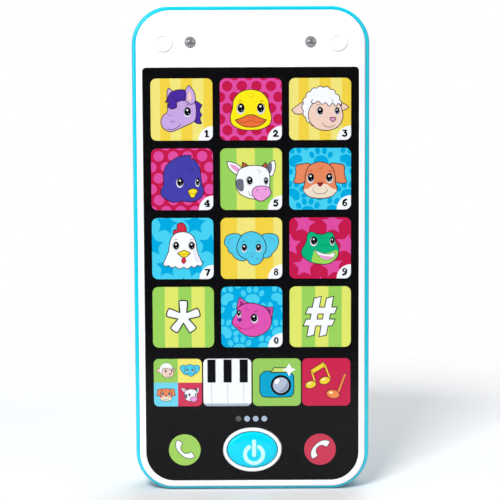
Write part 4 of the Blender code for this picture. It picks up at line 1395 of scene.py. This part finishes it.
def draw_cat(p):
    p.part("magenta", [(-4.8, 2.6), (-4.8, 4.8), (-4.1, 6.8, CORNER), (-2.2, 5.4), (-0.4, 4.2)])
    p.fill("plum", smooth([(-4.1, 3.6), (-3.9, 5.6, CORNER), (-2.4, 4.4)]))
    p.part("magenta", [(3.0, 3.8), (5.0, 3.4), (7.3, 3.3, CORNER), (7.1, 1.4), (6.4, -0.8)])
    p.fill("plum", smooth([(4.9, 2.9), (6.6, 2.7, CORNER), (6.4, 1.2)]))
    head = [
        (-4.6, 3.2), (-1.8, 4.7), (1.6, 4.5), (4.6, 3.2), (6.3, 0.8), (6.7, -1.8), (5.6, -4.4),
        (3, -6.2), (0, -6.8), (-3, -5.8), (-5, -4.0), (-6.6, -2.4), (-6.4, -0.6), (-5.2, 1.2),
    ]
    p.part("magenta", head)
    p.stroke("plum", [(-1.4, 4.0), (-2.0, 3.0), (-1.0, 2.4), (-0.2, 3.0)], 0.17, taper=True)
    p.eye(0.9, -0.6, 1.25, 1.55, -0.12)
    p.eye(-4.3, 1.1, 0.75, 1.15, -0.05)
    p.part("violet", [(-4.9, -0.7), (-3.4, -0.7), (-4.1, -1.6)], width=0.12)
    p.stroke("plum", [(-5.6, -2.5), (-4.2, -3.6), (-2.2, -4.2), (-0.4, -3.9), (0.7, -3.0)], 0.18)
    p.fill("comb_red", smooth([(-4.9, -3.0), (-3.7, -3.7), (-3.6, -4.3), (-4.3, -3.9)]))
    for i in range(3):
        p.fill("plum", disc(4.4 + 0.5 * (i % 2), -1.2 - 0.7 * i, 0.13))
    brow(p, 1.4, 1.6)


# ---------------------------------------------------------------- symbols and app icons


def draw_asterisk(p):
    arms = []
    for i in range(5):
        tip, side = math.radians(90 + 72 * i), math.radians(90 + 72 * i - 90)
        ux, uy, wx, wy = math.cos(tip), math.sin(tip), math.cos(side), math.sin(side)
        dip = math.radians(54 + 72 * i)
        arms.append((1.95 * math.cos(dip), 1.95 * math.sin(dip), CORNER))
        for along, across in ((4.9, 1.45), (5.6, 1.2), (5.8, 0.0), (5.6, -1.2), (4.9, -1.45)):
            arms.append((ux * along + wx * across, uy * along + wy * across))
    p.part("white", arms, line="shadow", width=0.42)


def draw_hash(p):
    """Two leaning posts and two bars, drawn over their own dark edges."""
    lean, cut = 0.19, 0.42
    for ink, edge in (("shadow", 0.2), ("white", -0.12)):
        for x in (-2.1, 2.1):
            half, top = 1.15 + edge, 6.6 + edge
            post = []
            for sx, sy in ((-1, -1), (1, -1), (1, 1), (-1, 1)):
                y = sy * top + sx * 0.3
                post.append((x + lean * y + sx * half, y))
            p.fill(ink, post)
        for y in (-2.0, 2.1):
            half, reach = 1.13 + edge, 4.9 + edge
            bar = []
            for sx, sy in ((-1, -1), (1, -1), (1, 1), (-1, 1)):
                bar.append((lean * y + sx * reach + sy * half * cut, y + sy * half))
            p.fill(ink, bar)


def paint_tiles(p):
    """Four quarters in four colours."""
    h = p.half
    corners = ((-h, 0, "green"), (0, 0, "yellow"), (-h, -h, "blue"), (0, -h, "red"))
    for x, y, colour in corners:
        tile = [(x, y), (x + h, y), (x + h, y + h), (x, y + h)]
        p.at(0, 0).fill(f"tile_{colour}", tile, clip=True)


def draw_animals(p):
    """Four small heads, one in each quarter."""
    h = p.half / 2
    draw_sheep(p.at(-h, h + 0.1, 0.35))
    draw_elephant(p.at(h, h + 0.1, 0.37))
    draw_dog(p.at(-h, -h + 0.1, 0.36))
    draw_cow(p.at(h, -h + 0.1, 0.37))
    p.at(0, 0)


def draw_piano(p):
    h = p.half
    p.fill("steel_blue", [(-h, -h), (h, -h), (h, -h + 0.9), (-h, -h + 0.9)], clip=True)
    for x in (-5.4, 0.1, 5.6):
        seam = [(x - 0.1, -h + 0.9), (x + 0.1, -h + 0.9), (x + 0.1, 0.1), (x - 0.1, 0.1)]
        p.fill("pale_line", seam)
        slot = [(x - 1.5, -0.1), (x + 1.5, -0.1), (x + 1.5, h - 0.2), (x - 1.5, h - 0.2)]
        p.fill("pale_line", slot)
        key = rounded_rect(2.7, h + 1.5, 0.3, x, h / 2 + 0.75, steps=3)
        p.fill("black", clipped(key, [(-h, -h), (h, -h), (h, h - 0.32), (-h, h - 0.32)]))


def draw_camera(p):
    hump = [(-2.0, 3.4, CORNER), (-1.0, 5.0, CORNER), (3.4, 5.0, CORNER), (4.4, 3.4, CORNER)]
    p.part("lime_pale", hump, line="navy", width=0.3)
    body = [(-5.8, 1.8), (-5.4, 2.7), (-4.4, 3.7, CORNER), (-2.4, 3.9, CORNER)]
    body += [(-1.9, 3.3, CORNER), (4.0, 3.3), (5.3, 2.7), (5.8, 1.6), (5.8, -3.0)]
    body += [(5.3, -4.4), (3.9, -5.1), (-3.9, -5.1), (-5.3, -4.4), (-5.8, -3.0)]
    p.part("cyan", body, line="navy", width=0.3)
    p.fill("black", disc(1.4, -1.05, 3.52, steps=40))
    p.fill("lens_grey", disc(1.4, -1.05, 2.72, steps=40))
    shade = [
        (3.3, -2.8), (3.9, -1.4), (3.7, 0.1), (3.1, -1.0), (2.1, -2.3), (0.8, -3.3),
        (2.2, -3.5),
    ]
    p.fill("lens_shade", smooth(shade))
    p.fill("white", disc(0.1, 0.3, 0.75, 1.1, -35))
    spark = []
    for i in range(8):
        angle = math.radians(45 * i)
        radius = 2.35 if i % 2 == 0 else 1.15
        point = (4.2 + radius * math.cos(angle), 4.3 + radius * math.sin(angle))
        spark.append((*point, CORNER) if i % 2 == 0 else point)
    p.fill("white", smooth(spark))


def draw_music(p):
    beam = [
        (-5.5, 4.1, CORNER), (-0.85, 7.0, CORNER), (-0.1, 4.9, CORNER), (-1.2, 4.9, CORNER),
        (-4.2, 3.0, CORNER), (-4.6, 2.2, CORNER),
    ]
    p.part("note_yellow", beam, line="wine_line")
    for (x0, y0), (x1, y1) in (((-4.9, 3.4), (-3.8, -0.2)), ((-0.5, 6.0), (1.2, 1.4))):
        p.stroke("wine_line", [(x0, y0, CORNER), (x1, y1, CORNER)], 0.8)
        p.stroke("note_yellow", [(x0, y0, CORNER), (x1, y1, CORNER)], 0.46)
    for x, y in ((-5.3, -0.9), (-0.5, 0.5)):
        p.part("note_yellow", disc(x, y, 1.9, 1.3, 15, steps=10), line="wine_line")
        p.fill("note_light", disc(x - 0.5, y + 0.4, 0.6, 0.35, 20))
    p.stroke("wine_line", [(4.0, -3.8, CORNER), (6.4, 2.5, CORNER)], 1.05)
    p.stroke("note_orange", [(4.0, -3.8, CORNER), (6.4, 2.5, CORNER)], 0.68)
    p.part("note_orange", disc(2.3, -4.2, 2.3, 1.5, -12, steps=10), line="wine_line")
    p.fill("note_light", disc(1.6, -3.7, 0.7, 0.4, -10))


def draw_handset(p, turn, x, y):
    """A telephone handset, bowed towards the direction that it is turned to."""
    p.at(x, y, 1.0, turn)
    bow = [(0, 1.45), (1.8, 1.25), (3.3, 0.45), (4.15, -0.8), (3.95, -1.35), (2.55, -1.75)]
    bow += [(2.05, -1.5), (1.75, -0.65), (1.5, -0.25), (0.9, 0.2), (0, 0.35)]
    p.part("white", mirrored(bow), line="handset_line", width=0.24)
    p.at(0, 0)


def draw_prints(inks):
    """Draws each key's print over its ground, and makes its mesh."""
    narrow = [-7.2, -3.8, -0.2, 3.6, 7.4]
    wide = [-4.9, 1.3, 7.4]
    even = [-6.3, -1.7, 2.8, 7.3]
    prints = {
        "key_1": (draw_horse, paint_stripes, narrow, "straw", "gold"),
        "key_2": (draw_duck, paint_dots, "hot_pink", "crimson"),
        "key_3": (draw_sheep, paint_stripes, narrow, "straw", "gold"),
        "key_4": (draw_bird, paint_dots, "crimson", "hot_pink"),
        "key_5": (draw_cow, paint_stripes, wide, "leaf", "yellow_green"),
        "key_6": (draw_dog, paint_paws, "aqua", "cerulean"),
        "key_7": (draw_chicken, paint_stars, "aqua", "cerulean"),
        "key_8": (draw_elephant, paint_stripes, wide, "gold", "straw"),
        "key_9": (draw_frog, paint_stars, "crimson", "hot_pink"),
        "key_star": (draw_asterisk, paint_stripes, even, "leaf", "yellow_green"),
        "key_0": (draw_cat, paint_paws, "cerulean", "aqua"),
        "key_hash": (draw_hash, paint_stripes, even, "yellow_green", "leaf"),
        "app_key_animals": (draw_animals, paint_tiles),
        "app_key_piano": (draw_piano, paint_ground, "white"),
        "app_key_camera": (draw_camera, paint_ground, "tile_green"),
        "app_key_music": (draw_music, paint_ground, "tile_crimson"),
        "call_key": (lambda p: draw_handset(p, 135, -0.5, -0.4), paint_ground, "call_green"),
        "hang_up_key": (lambda p: draw_handset(p, 45, -0.5, 0.55), paint_ground, "hang_up_red"),
    }
    for node, (draw, paint, *colours) in prints.items():
        p = Print(node)
        paint(p, *colours)
        digit = node.removeprefix("key_")
        if digit.isdigit():
            paint_corner(p, digit)
        draw(p)
        p.make(inks)


def page_dots(inks):
    """Four dots between the app row and the button: the first one is dim."""
    middle = (centre_of("app_key_piano").z + centre_of("power_button").z) / 2
    z = middle - 0.95 * MM
    for i in range(4):
        x = (i - 1.5) * 2.96 * MM - 0.3 * MM
        rings = peg(0.98 * MM, FILM_TOP - INK_STEP, FILM_TOP, x, z, 32)
        dot = solid(f"page_dot_{i + 1}", [rings], [inks["dim_dot" if i == 0 else "dot"]])
        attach(dot, ROOT)


# ---------------------------------------------------------------- button, lamps, hardware


def crown_drop(share):
    """How far the button's crown lies behind its highest point, at a share of its radius."""
    return (0.1 + 0.42 * share**2 + 0.55 * share**14) * MM


def power_button(material):
    """The button: an oval crown, a lip behind the front wall and a stem."""
    place = centre_of("power_button")
    shares = [0.06, 0.2, 0.4, 0.55, 0.68, 0.77, 0.84, 0.89, 0.93, 0.96, 0.985, 1.0]
    profile = [(BUTTON_A * s, BUTTON_B * s, FRONT + crown_drop(s)) for s in shares]
    lip_back = FRONT_LIP + 0.8 * MM
    lip, stem = (BUTTON_A + 1.0 * MM, BUTTON_B + 1.0 * MM), (3 * MM, 3 * MM)
    profile += [(BUTTON_A, BUTTON_B, FRONT_LIP), (*lip, FRONT_LIP), (*lip, lip_back)]
    profile += [(*stem, lip_back), (*stem, lip_back + 0.6 * MM)]
    rings = [at_depth(oval(a, b, place.x, place.z), y) for a, b, y in profile]
    button = solid("power_button_cap", [rings], [material])
    even_shading(button)
    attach(button, "power_button")
    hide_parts("power_button")


def on_crown(x, z, rise):
    """A point over the button's crown: x and z are in metres from its centre."""
    place = centre_of("power_button")
    share = math.hypot(x / BUTTON_A, z / BUTTON_B)
    return Vector((place.x + x, FRONT + crown_drop(share) - rise, place.z + z))


def power_sign(material):
    """The power sign: an open ring and a bar, moulded a hair proud of the crown."""
    centre_x, centre_z = 0.6 * MM, -1.5 * MM
    radius, width = 3.1 * MM, 1.4 * MM
    gap = math.radians(34)
    arc = []
    for i in range(41):
        angle = math.radians(90) + gap + (2 * math.pi - 2 * gap) * i / 40
        arc.append((centre_x + radius * math.cos(angle), centre_z + radius * math.sin(angle)))
    bar = [(centre_x, (3.0 - 4.6 * i / 12) * MM) for i in range(13)]
    bm = bmesh.new()
    for line in (arc, bar):
        add_loft(bm, sign_rings(line, width))
    sign = new_object("power_sign", bm, [material], sharp=50)
    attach(sign, "power_button")


def unit(a, b):
    """The direction from a to b."""
    x, y = b[0] - a[0], b[1] - a[1]
    length = math.hypot(x, y)
    return x / length, y / length


def sign_rings(line, width):
    """Sections of a flat bead along a line on the crown, with round ends."""
    section = ((-1, -0.05), (-0.94, 0.05), (-0.8, 0.09), (0.8, 0.09), (0.94, 0.05), (1, -0.05))
    half = width / 2
    caps = []
    for before, end in ((line[1], line[0]), (line[-2], line[-1])):
        ahead_x, ahead_z = unit(before, end)
        cap = []
        for i in range(5):
            reach = half * math.cos(math.radians(18 * (i + 0.3)))
            share = math.sin(math.radians(18 * (i + 1))) * 0.98
            cap.append((end[0] + ahead_x * reach, end[1] + ahead_z * reach, share))
        caps.append(cap)
    places = [*caps[0], *[(x, z, 1.0) for x, z in line], *reversed(caps[1])]
    rings = []
    for (x, z, share), (nx, nz) in zip(places, normals([p[:2] for p in places], False)):
        reach = half * share
        ring = []
        for side, rise in section:
            ring.append(on_crown(x + nx * reach * side, z + nz * reach * side, rise * MM))
        rings.append(ring)
    return rings


def lamp(node, material):
    """A lamp's domed lens with its flange."""
    place = centre_of(node)
    dome_radius = 2.4 * MM
    reach = math.asin(LAMP_RADIUS / dome_radius)
    profile = []
    for i in range(1, 14):
        angle = reach * i / 13
        drop = dome_radius * (1 - math.cos(angle))
        profile.append((dome_radius * math.sin(angle), FRONT + drop))
    flange = 2.45 * MM
    profile += [(LAMP_RADIUS, FRONT_LIP), (flange, FRONT_LIP), (flange, FRONT_LIP + 0.8 * MM)]
    lens = solid(f"{node}_lens", [turned(profile, place.x, place.z, 48)], [material])
    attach(lens, ROOT)
    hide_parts(node)


def screw(node, body, material, head_radius, head_height, shank_length):
    """A pan-head screw with a cross recess, driven from the back."""
    low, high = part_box(node)
    x, z = (low.x + high.x) / 2, (low.z + high.z) / 2
    top = high.y
    profile = [(0.3 * MM, top)]
    for a in quarter(6):
        radius = head_radius - 0.42 * head_height * (1 - math.sin(a))
        profile.append((radius, top - 0.03 * MM - 0.42 * head_height * (1 - math.cos(a))))
    seat = top - head_height
    profile += [(head_radius, seat), (SHANK_RADIUS, seat)]
    profile += [(SHANK_RADIUS, seat - shank_length + SHANK_RADIUS)]
    profile += [(SHANK_RADIUS * 0.4, seat - shank_length)]
    made = solid(f"{node}_fine", [turned(profile, x, z, 36)], [material])
    arm, half, deep = head_radius * 0.6, head_radius * 0.13, head_height * 0.62
    for turn in (0, 90):
        c, s = math.cos(math.radians(turn)), math.sin(math.radians(turn))
        rings = []
        for depth, reach in ((-0.2 * MM, 1.05), (0.0, 1.0), (deep, 0.45)):
            long = arm * reach
            corners = [(long, half), (-long, half), (-long, -half), (long, -half)]
            points = [(x + u * c - v * s, top - depth, z + u * s + v * c) for u, v in corners]
            rings.append([Vector(p) for p in points])
        carve(made, "DIFFERENCE", [rings])
    even_shading(made, 30)
    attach(made, body)
    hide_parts(node)


def cell(node, sleeve, steel, nub_up):
    """A small dry cell: a printed sleeve, steel ends and a nub."""
    low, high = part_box(node)
    x, y = (low.x + high.x) / 2, (low.y + high.y) / 2
    radius, length = (high.x - low.x) / 2, high.z - low.z
    body = length - 0.8 * MM
    rim = [(0.9, 0.06), (0.35, 0.02), (0.06, 0.25), (0.0, 0.6)]
    sides = [(radius - inset * MM, h * MM) for inset, h in rim]
    sides += [(radius - inset * MM, (body / MM - h) * MM) for inset, h in reversed(rim)]
    end, nub_base = radius - 1.0 * MM, body - 0.03 * MM
    nub = [(end, body - 0.2 * MM), (end, nub_base), (2.1 * MM, nub_base)]
    nub += [(1.9 * MM, body + 0.15 * MM), (1.9 * MM, length - 0.25 * MM), (1.65 * MM, length)]
    base = [(end, 0.0), (end, 0.3 * MM)]

    def stand(profile):
        flip = [(r, low.z + h if nub_up else high.z - h) for r, h in profile]
        return upright(flip, x, y, 48)

    made = solid(f"{node}_sleeve", [stand(sides)], [sleeve])
    ends = solid(f"{node}_ends", [stand(nub), stand(base)], [steel])
    for piece, slot in ((made, "cell_sleeve"), (ends, "nickel_plate")):
        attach(piece, ROOT)
    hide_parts(node)


def battery_spring(node, wide_end_low, material):
    """A smooth conical spring in the place of its plain one."""
    low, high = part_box(node)
    wire = 0.35 * MM
    x, y = (low.x + high.x) / 2, centre_of("battery_left").y
    x = math.copysign(centre_of("battery_right").x, x)
    curve = bpy.data.curves.new(f"{node}_coil", "CURVE")
    curve.dimensions = "3D"
    curve.bevel_depth = wire
    curve.bevel_resolution = 3
    curve.use_fill_caps = True
    count, turns = 120, 3
    spline = curve.splines.new("POLY")
    spline.points.add(count)
    for i, point in enumerate(spline.points):
        share = i / count
        narrowing = share if wide_end_low else 1 - share
        radius = (3.8 - 1.5 * narrowing) * MM
        angle = 2 * math.pi * turns * share
        height = low.z + wire + (high.z - low.z - 2 * wire) * share
        point.co = (x + radius * math.cos(angle), y + radius * math.sin(angle), height, 1)
    curve.materials.append(material)
    coil = bpy.data.objects.new(f"{node}_coil", curve)
    bpy.context.scene.collection.objects.link(coil)
    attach(coil, ROOT)
    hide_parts(node)


def dome_mat(material):
    """The silicone sheet, and under each key a hollow dome."""
    low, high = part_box("dome_mat")
    sheet_front = low.y + DOME_HEIGHT
    size = (high.x - low.x, high.z - low.z)
    outline = rounded_rect(*size, 2 * MM, z=(low.z + high.z) / 2, bottom_radius=8 * MM)
    sheet = solid("mat_sheet", [prism(outline, sheet_front, high.y)], [material])
    keys = {node: 0.66 for node in ALL_KEYS}
    keys["power_button"] = 0.36
    holes = {node: 2.5 * MM for node in keys}
    for i in (1, 2):
        holes |= {f"case_screw_{i}": 3.4 * MM, f"board_screw_{i}": 2.4 * MM}
    cuts = []
    for node, radius in holes.items():
        place = centre_of(node)
        cuts.append(peg(radius, sheet_front - GAP, high.y + GAP, place.x, place.z, 32))
    carve(sheet, "DIFFERENCE", cuts)
    even_shading(sheet)
    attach(sheet, ROOT)
    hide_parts("dome_mat")

    outer = [(0.3, 0.0), (1.95, 0.0), (2.2, 0.18), (3.05, 0.88), (3.25, 0.98), (3.25, 1.1)]
    inner = [(2.45, 1.1), (2.45, 0.98), (1.5, 0.5), (0.3, 0.5)]
    profile = [(r * MM, low.y + y * MM) for r, y in outer + inner]
    for node, keep in keys.items():
        place = centre_of(node)
        dome = solid(f"dome_{node}", [turned(profile, place.x, place.z, 32)], [material])
        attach(dome, ROOT)
        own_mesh(dome)


def dress_frame(materials):
    """Gives each CAD node that stays its own material."""
    for node, made in materials.items():
        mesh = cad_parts[node].data
        mesh.materials.clear()
        mesh.materials.append(made)


# ---------------------------------------------------------------- studio

# Area lights: name, azimuth, elevation, distance, size, power
LIGHTS = (
    ("key", -19, 41, 1.3, 0.34, 16.2),
    ("side", -65, 15, 1.2, 0.8, 2.0),
    ("fill", 48, 20, 1.2, 0.9, 2.0),
    ("back", 165, 35, 1.1, 0.8, 8.0),
    ("glint", -27, 21, 1.3, 0.45, 3.2),
)


def floor_material():
    """A pale floor that fades out away from the phone."""
    made, principled = shader("studio_floor", roughness=0.7, specular=0.1)
    mottle(made, principled, (0.69, 0.69, 0.698, 1), 12, 0.01)
    tree = made.node_tree
    place = tree.nodes.new("ShaderNodeTexCoord")
    reach = add_node(made, "ShaderNodeVectorMath", operation="LENGTH")
    fade = tree.nodes.new("ShaderNodeMapRange")
    fade.inputs["From Min"].default_value = 0.17
    fade.inputs["From Max"].default_value = 0.32
    mix = tree.nodes.new("ShaderNodeMixShader")
    clear = tree.nodes.new("ShaderNodeBsdfTransparent")
    wire(
        tree,
        (place, "Object", reach, 0),
        (reach, "Value", fade, "Value"),
        (fade, "Result", mix, "Fac"),
        (principled, "BSDF", mix, 1),
        (clear, "BSDF", mix, 2),
        (mix, "Shader", tree.nodes["Material Output"], "Surface"),
    )
    return made


def studio():
    """The floor, the white surround and the lights."""
    bm = bmesh.new()
    bm.faces.new([bm.verts.new((x, y, -0.0001)) for x, y in oval(0.5, 0.5, steps=96)])
    floor = new_object("studio_floor", bm, [floor_material()])
    for name, azimuth, elevation, distance, size, power in LIGHTS:
        add_light(name, azimuth, elevation, distance, size, power)
    surround()
    bpy.context.scene.view_settings.view_transform = "Standard"


def surround():
    """White to the eye, and for the object a room that is dark in front of it."""
    world = bpy.data.worlds.new("surround")
    bpy.context.scene.world = world
    world.use_nodes = True
    nodes = world.node_tree.nodes
    nodes.clear()
    out = nodes.new("ShaderNodeOutputWorld")
    mix = nodes.new("ShaderNodeMixShader")
    path = nodes.new("ShaderNodeLightPath")
    room = nodes.new("ShaderNodeBackground")
    room.inputs["Color"].default_value = (0.93, 0.96, 1.0, 1)
    seen = nodes.new("ShaderNodeBackground")
    seen.inputs["Color"].default_value = (1, 1, 1, 1)
    place = nodes.new("ShaderNodeTexCoord")
    split = nodes.new("ShaderNodeSeparateXYZ")
    dark = nodes.new("ShaderNodeMapRange")
    dark.inputs["From Min"].default_value = -0.9
    dark.inputs["From Max"].default_value = -0.3
    dark.inputs["To Min"].default_value = 0.02
    dark.inputs["To Max"].default_value = 0.5
    wire(
        world.node_tree,
        (place, "Generated", split, "Vector"),
        (split, "Y", dark, "Value"),
        (dark, "Result", room, "Strength"),
        (path, "Is Camera Ray", mix, "Fac"),
        (room, "Background", mix, 1),
        (seen, "Background", mix, 2),
        (mix, "Shader", out, "Surface"),
    )


def add_light(name, azimuth, elevation, distance, size, power):
    """A square area light aimed at the phone's middle. Azimuth 0 is in front of the phone."""
    a, e = math.radians(azimuth), math.radians(elevation)
    way = Vector((math.sin(a) * math.cos(e), -math.cos(a) * math.cos(e), math.sin(e)))
    data = bpy.data.lights.new(name, "AREA")
    data.size = size
    data.energy = power
    light = bpy.data.objects.new(name, data)
    light.location = Vector((0, 0, HEIGHT / 2)) + way * distance
    light.rotation_mode = "QUATERNION"
    light.rotation_quaternion = (-way).to_track_quat("-Z", "Y")
    light.visible_glossy = name != "key"
    bpy.context.scene.collection.objects.link(light)


def camera():
    """Nearly straight on, a little above the middle."""
    distance, elevation, roll = 0.58, math.radians(5.9), math.radians(-0.27)
    aim = Vector((-0.0005, FRONT, HEIGHT / 2 + 0.0005))
    way = Vector((0, -math.cos(elevation), math.sin(elevation)))
    data = bpy.data.cameras.new("camera")
    data.lens = 123.4
    data.sensor_width = 36
    made = bpy.data.objects.new("camera", data)
    made.location = aim + way * distance
    turn = (-way).to_track_quat("-Z", "Y").to_matrix().to_4x4() @ Matrix.Rotation(roll, 4, "Z")
    made.rotation_euler = turn.to_euler()
    bpy.context.scene.collection.objects.link(made)
    bpy.context.scene.camera = made


# ---------------------------------------------------------------- making it all

INK_COLOURS = {
    "line": "#2c2226",
    "black": "#0a0a0c",
    "white": "#f2f4fb",
    "eye_white": "#d6d9e2",
    "glint": "#c9d3e6",
    "eye": "#0a0a10",
    "shade": "#e3e6f0",
    "shadow": "#1c2220",
    "straw": "#eee27a",
    "gold": "#efd045",
    "hot_pink": "#dc4da0",
    "crimson": "#c21c4c",
    "leaf": "#98cf5c",
    "yellow_green": "#dde46c",
    "aqua": "#46cdee",
    "cerulean": "#03a7dc",
    "lavender": "#c5a5e0",
    "violet": "#4a2c9c",
    "blush": "#f0c9c0",
    "duck_yellow": "#fbe81c",
    "beak_orange": "#e8703c",
    "orange": "#e0902c",
    "rust": "#a34a2c",
    "peach": "#f0cfc0",
    "rose": "#e79acd",
    "indigo": "#4440a8",
    "deep_indigo": "#2a2678",
    "yellow": "#f6dc2e",
    "ochre": "#b88a1a",
    "slate": "#6b6c7e",
    "horn": "#b05a3c",
    "pink": "#eb9ddb",
    "tan": "#e5865c",
    "cream": "#ecdcc8",
    "wine": "#8e2236",
    "comb_red": "#d02e48",
    "sky": "#52c8e8",
    "blue": "#2c86bc",
    "green": "#0cb07a",
    "pine": "#08704e",
    "lime": "#9cd457",
    "magenta": "#dc55b0",
    "plum": "#9a2c80",
    "tile_green": "#96c95f",
    "tile_yellow": "#f0e674",
    "tile_blue": "#6fd2ec",
    "tile_red": "#cf3a5c",
    "tile_crimson": "#c8264e",
    "steel_blue": "#a9b8c8",
    "pale_line": "#bcc6d2",
    "lime_pale": "#c8e070",
    "navy": "#12303f",
    "cyan": "#05a2cc",
    "lens_grey": "#b1bdd2",
    "lens_shade": "#8c9ab4",
    "note_yellow": "#efd03c",
    "note_light": "#fbf0b4",
    "note_orange": "#ee8c50",
    "wine_line": "#6a2430",
    "call_green": "#a0cf60",
    "hang_up_red": "#c83d56",
    "handset_line": "#4c5648",
    "dot": "#aabbcd",
    "dim_dot": "#5a575b",
}


def make_inks():
    """A material for each ink of the prints."""
    inks = {}
    for name, colour in INK_COLOURS.items():
        gain = 0.8 if name in ("white", "glint") else 0.78
        inks[name] = glossy_print(f"ink_{name}", linear(colour, gain))
    return inks


def film_material():
    """The near-black glossy sheet."""
    film, principled = shader("film_gloss", roughness=0.12, specular=0.15)
    mottle(film, principled, (0.0035, 0.0035, 0.0042, 1), 300, 0.2)
    uneven_gloss(film, principled, 0.09, 0.15, 60)
    return film


def build_outside(steel, nickel):
    """The pieces that stand for CAD nodes, from the front to the back."""
    white = moulded_plastic("white_plastic", (0.9, 0.9, 0.91, 1), coat=0.3, depth=0.008)
    teal = moulded_plastic("teal_plastic", linear("#08bcd2"))
    bright_teal = moulded_plastic(
        "bright_teal_plastic", linear("#02c4df"), low=0.08, high=0.12, coat=0.0, specular=0.28
    )
    sign = moulded_plastic("sign_plastic", linear("#b8eef0"), depth=0.01)
    film = film_material()
    inks = make_inks()
    front_shell(white)
    rear_shell(teal)
    battery_door(teal)
    film_sheet(film)
    for node in ALL_KEYS:
        film_patch(node, film)
    draw_prints(inks)
    page_dots(inks)
    power_button(bright_teal)
    power_sign(sign)
    lens = lens_material()
    for node in LAMPS:
        lamp(node, lens)
    for i in range(1, 5):
        screw(f"case_screw_{i}", ROOT, steel, 2.35 * MM, 1.6 * MM, 11.5 * MM)
    screw("door_screw", "door_screw", steel, 2.4 * MM, 1.3 * MM, 4.2 * MM)
    cell("battery_left", sleeve_material(True), nickel, True)
    cell("battery_right", sleeve_material(False), nickel, False)
    battery_spring("battery_spring_left", True, nickel)
    battery_spring("battery_spring_right", False, nickel)


def build_inside(steel, nickel):
    """The mat, and the materials of the CAD nodes that stay."""
    epoxy = dull("epoxy", (0.012, 0.012, 0.014, 1), 0.3, strength=0.1)
    dome_mat(dull("silicone", (0.32, 0.33, 0.35, 1), 0.55, strength=0.1))
    key_plastic = dull("key_plastic", (0.7, 0.7, 0.71, 1), 0.45, strength=0.1)
    materials = {node: key_plastic for node in ALL_KEYS}
    materials |= {f"board_screw_{i}": steel for i in range(1, 5)}
    materials |= {
        "circuit_board": board_material(),
        "chip_blob": epoxy,
        "capacitor": epoxy,
        "speaker_frame": steel,
        "speaker_cone": dull("cone_paper", (0.035, 0.035, 0.04, 1), 0.85, 2400, 0.5),
        "speaker_magnet": dull("ferrite", (0.05, 0.05, 0.055, 1), 0.5),
    }
    for plate in ("link_plate", "plate_positive", "plate_negative"):
        materials[f"battery_{plate}"] = nickel
    for name, colour in (("red", (0.55, 0.02, 0.02, 1)), ("black", (0.015, 0.015, 0.016, 1))):
        insulation = dull(f"{name}_insulation", colour, 0.4, strength=0.05)
        for wire in ("battery", "speaker"):
            materials[f"{wire}_wire_{name}"] = insulation
    dress_frame(materials)


def main():
    steel = metal("screw_steel", (0.6, 0.6, 0.62, 1), 0.3, (1, 6, 1))
    nickel = metal("nickel", (0.72, 0.7, 0.64, 1), 0.22)
    build_outside(steel, nickel)
    build_inside(steel, nickel)
    studio()
    camera()


main()
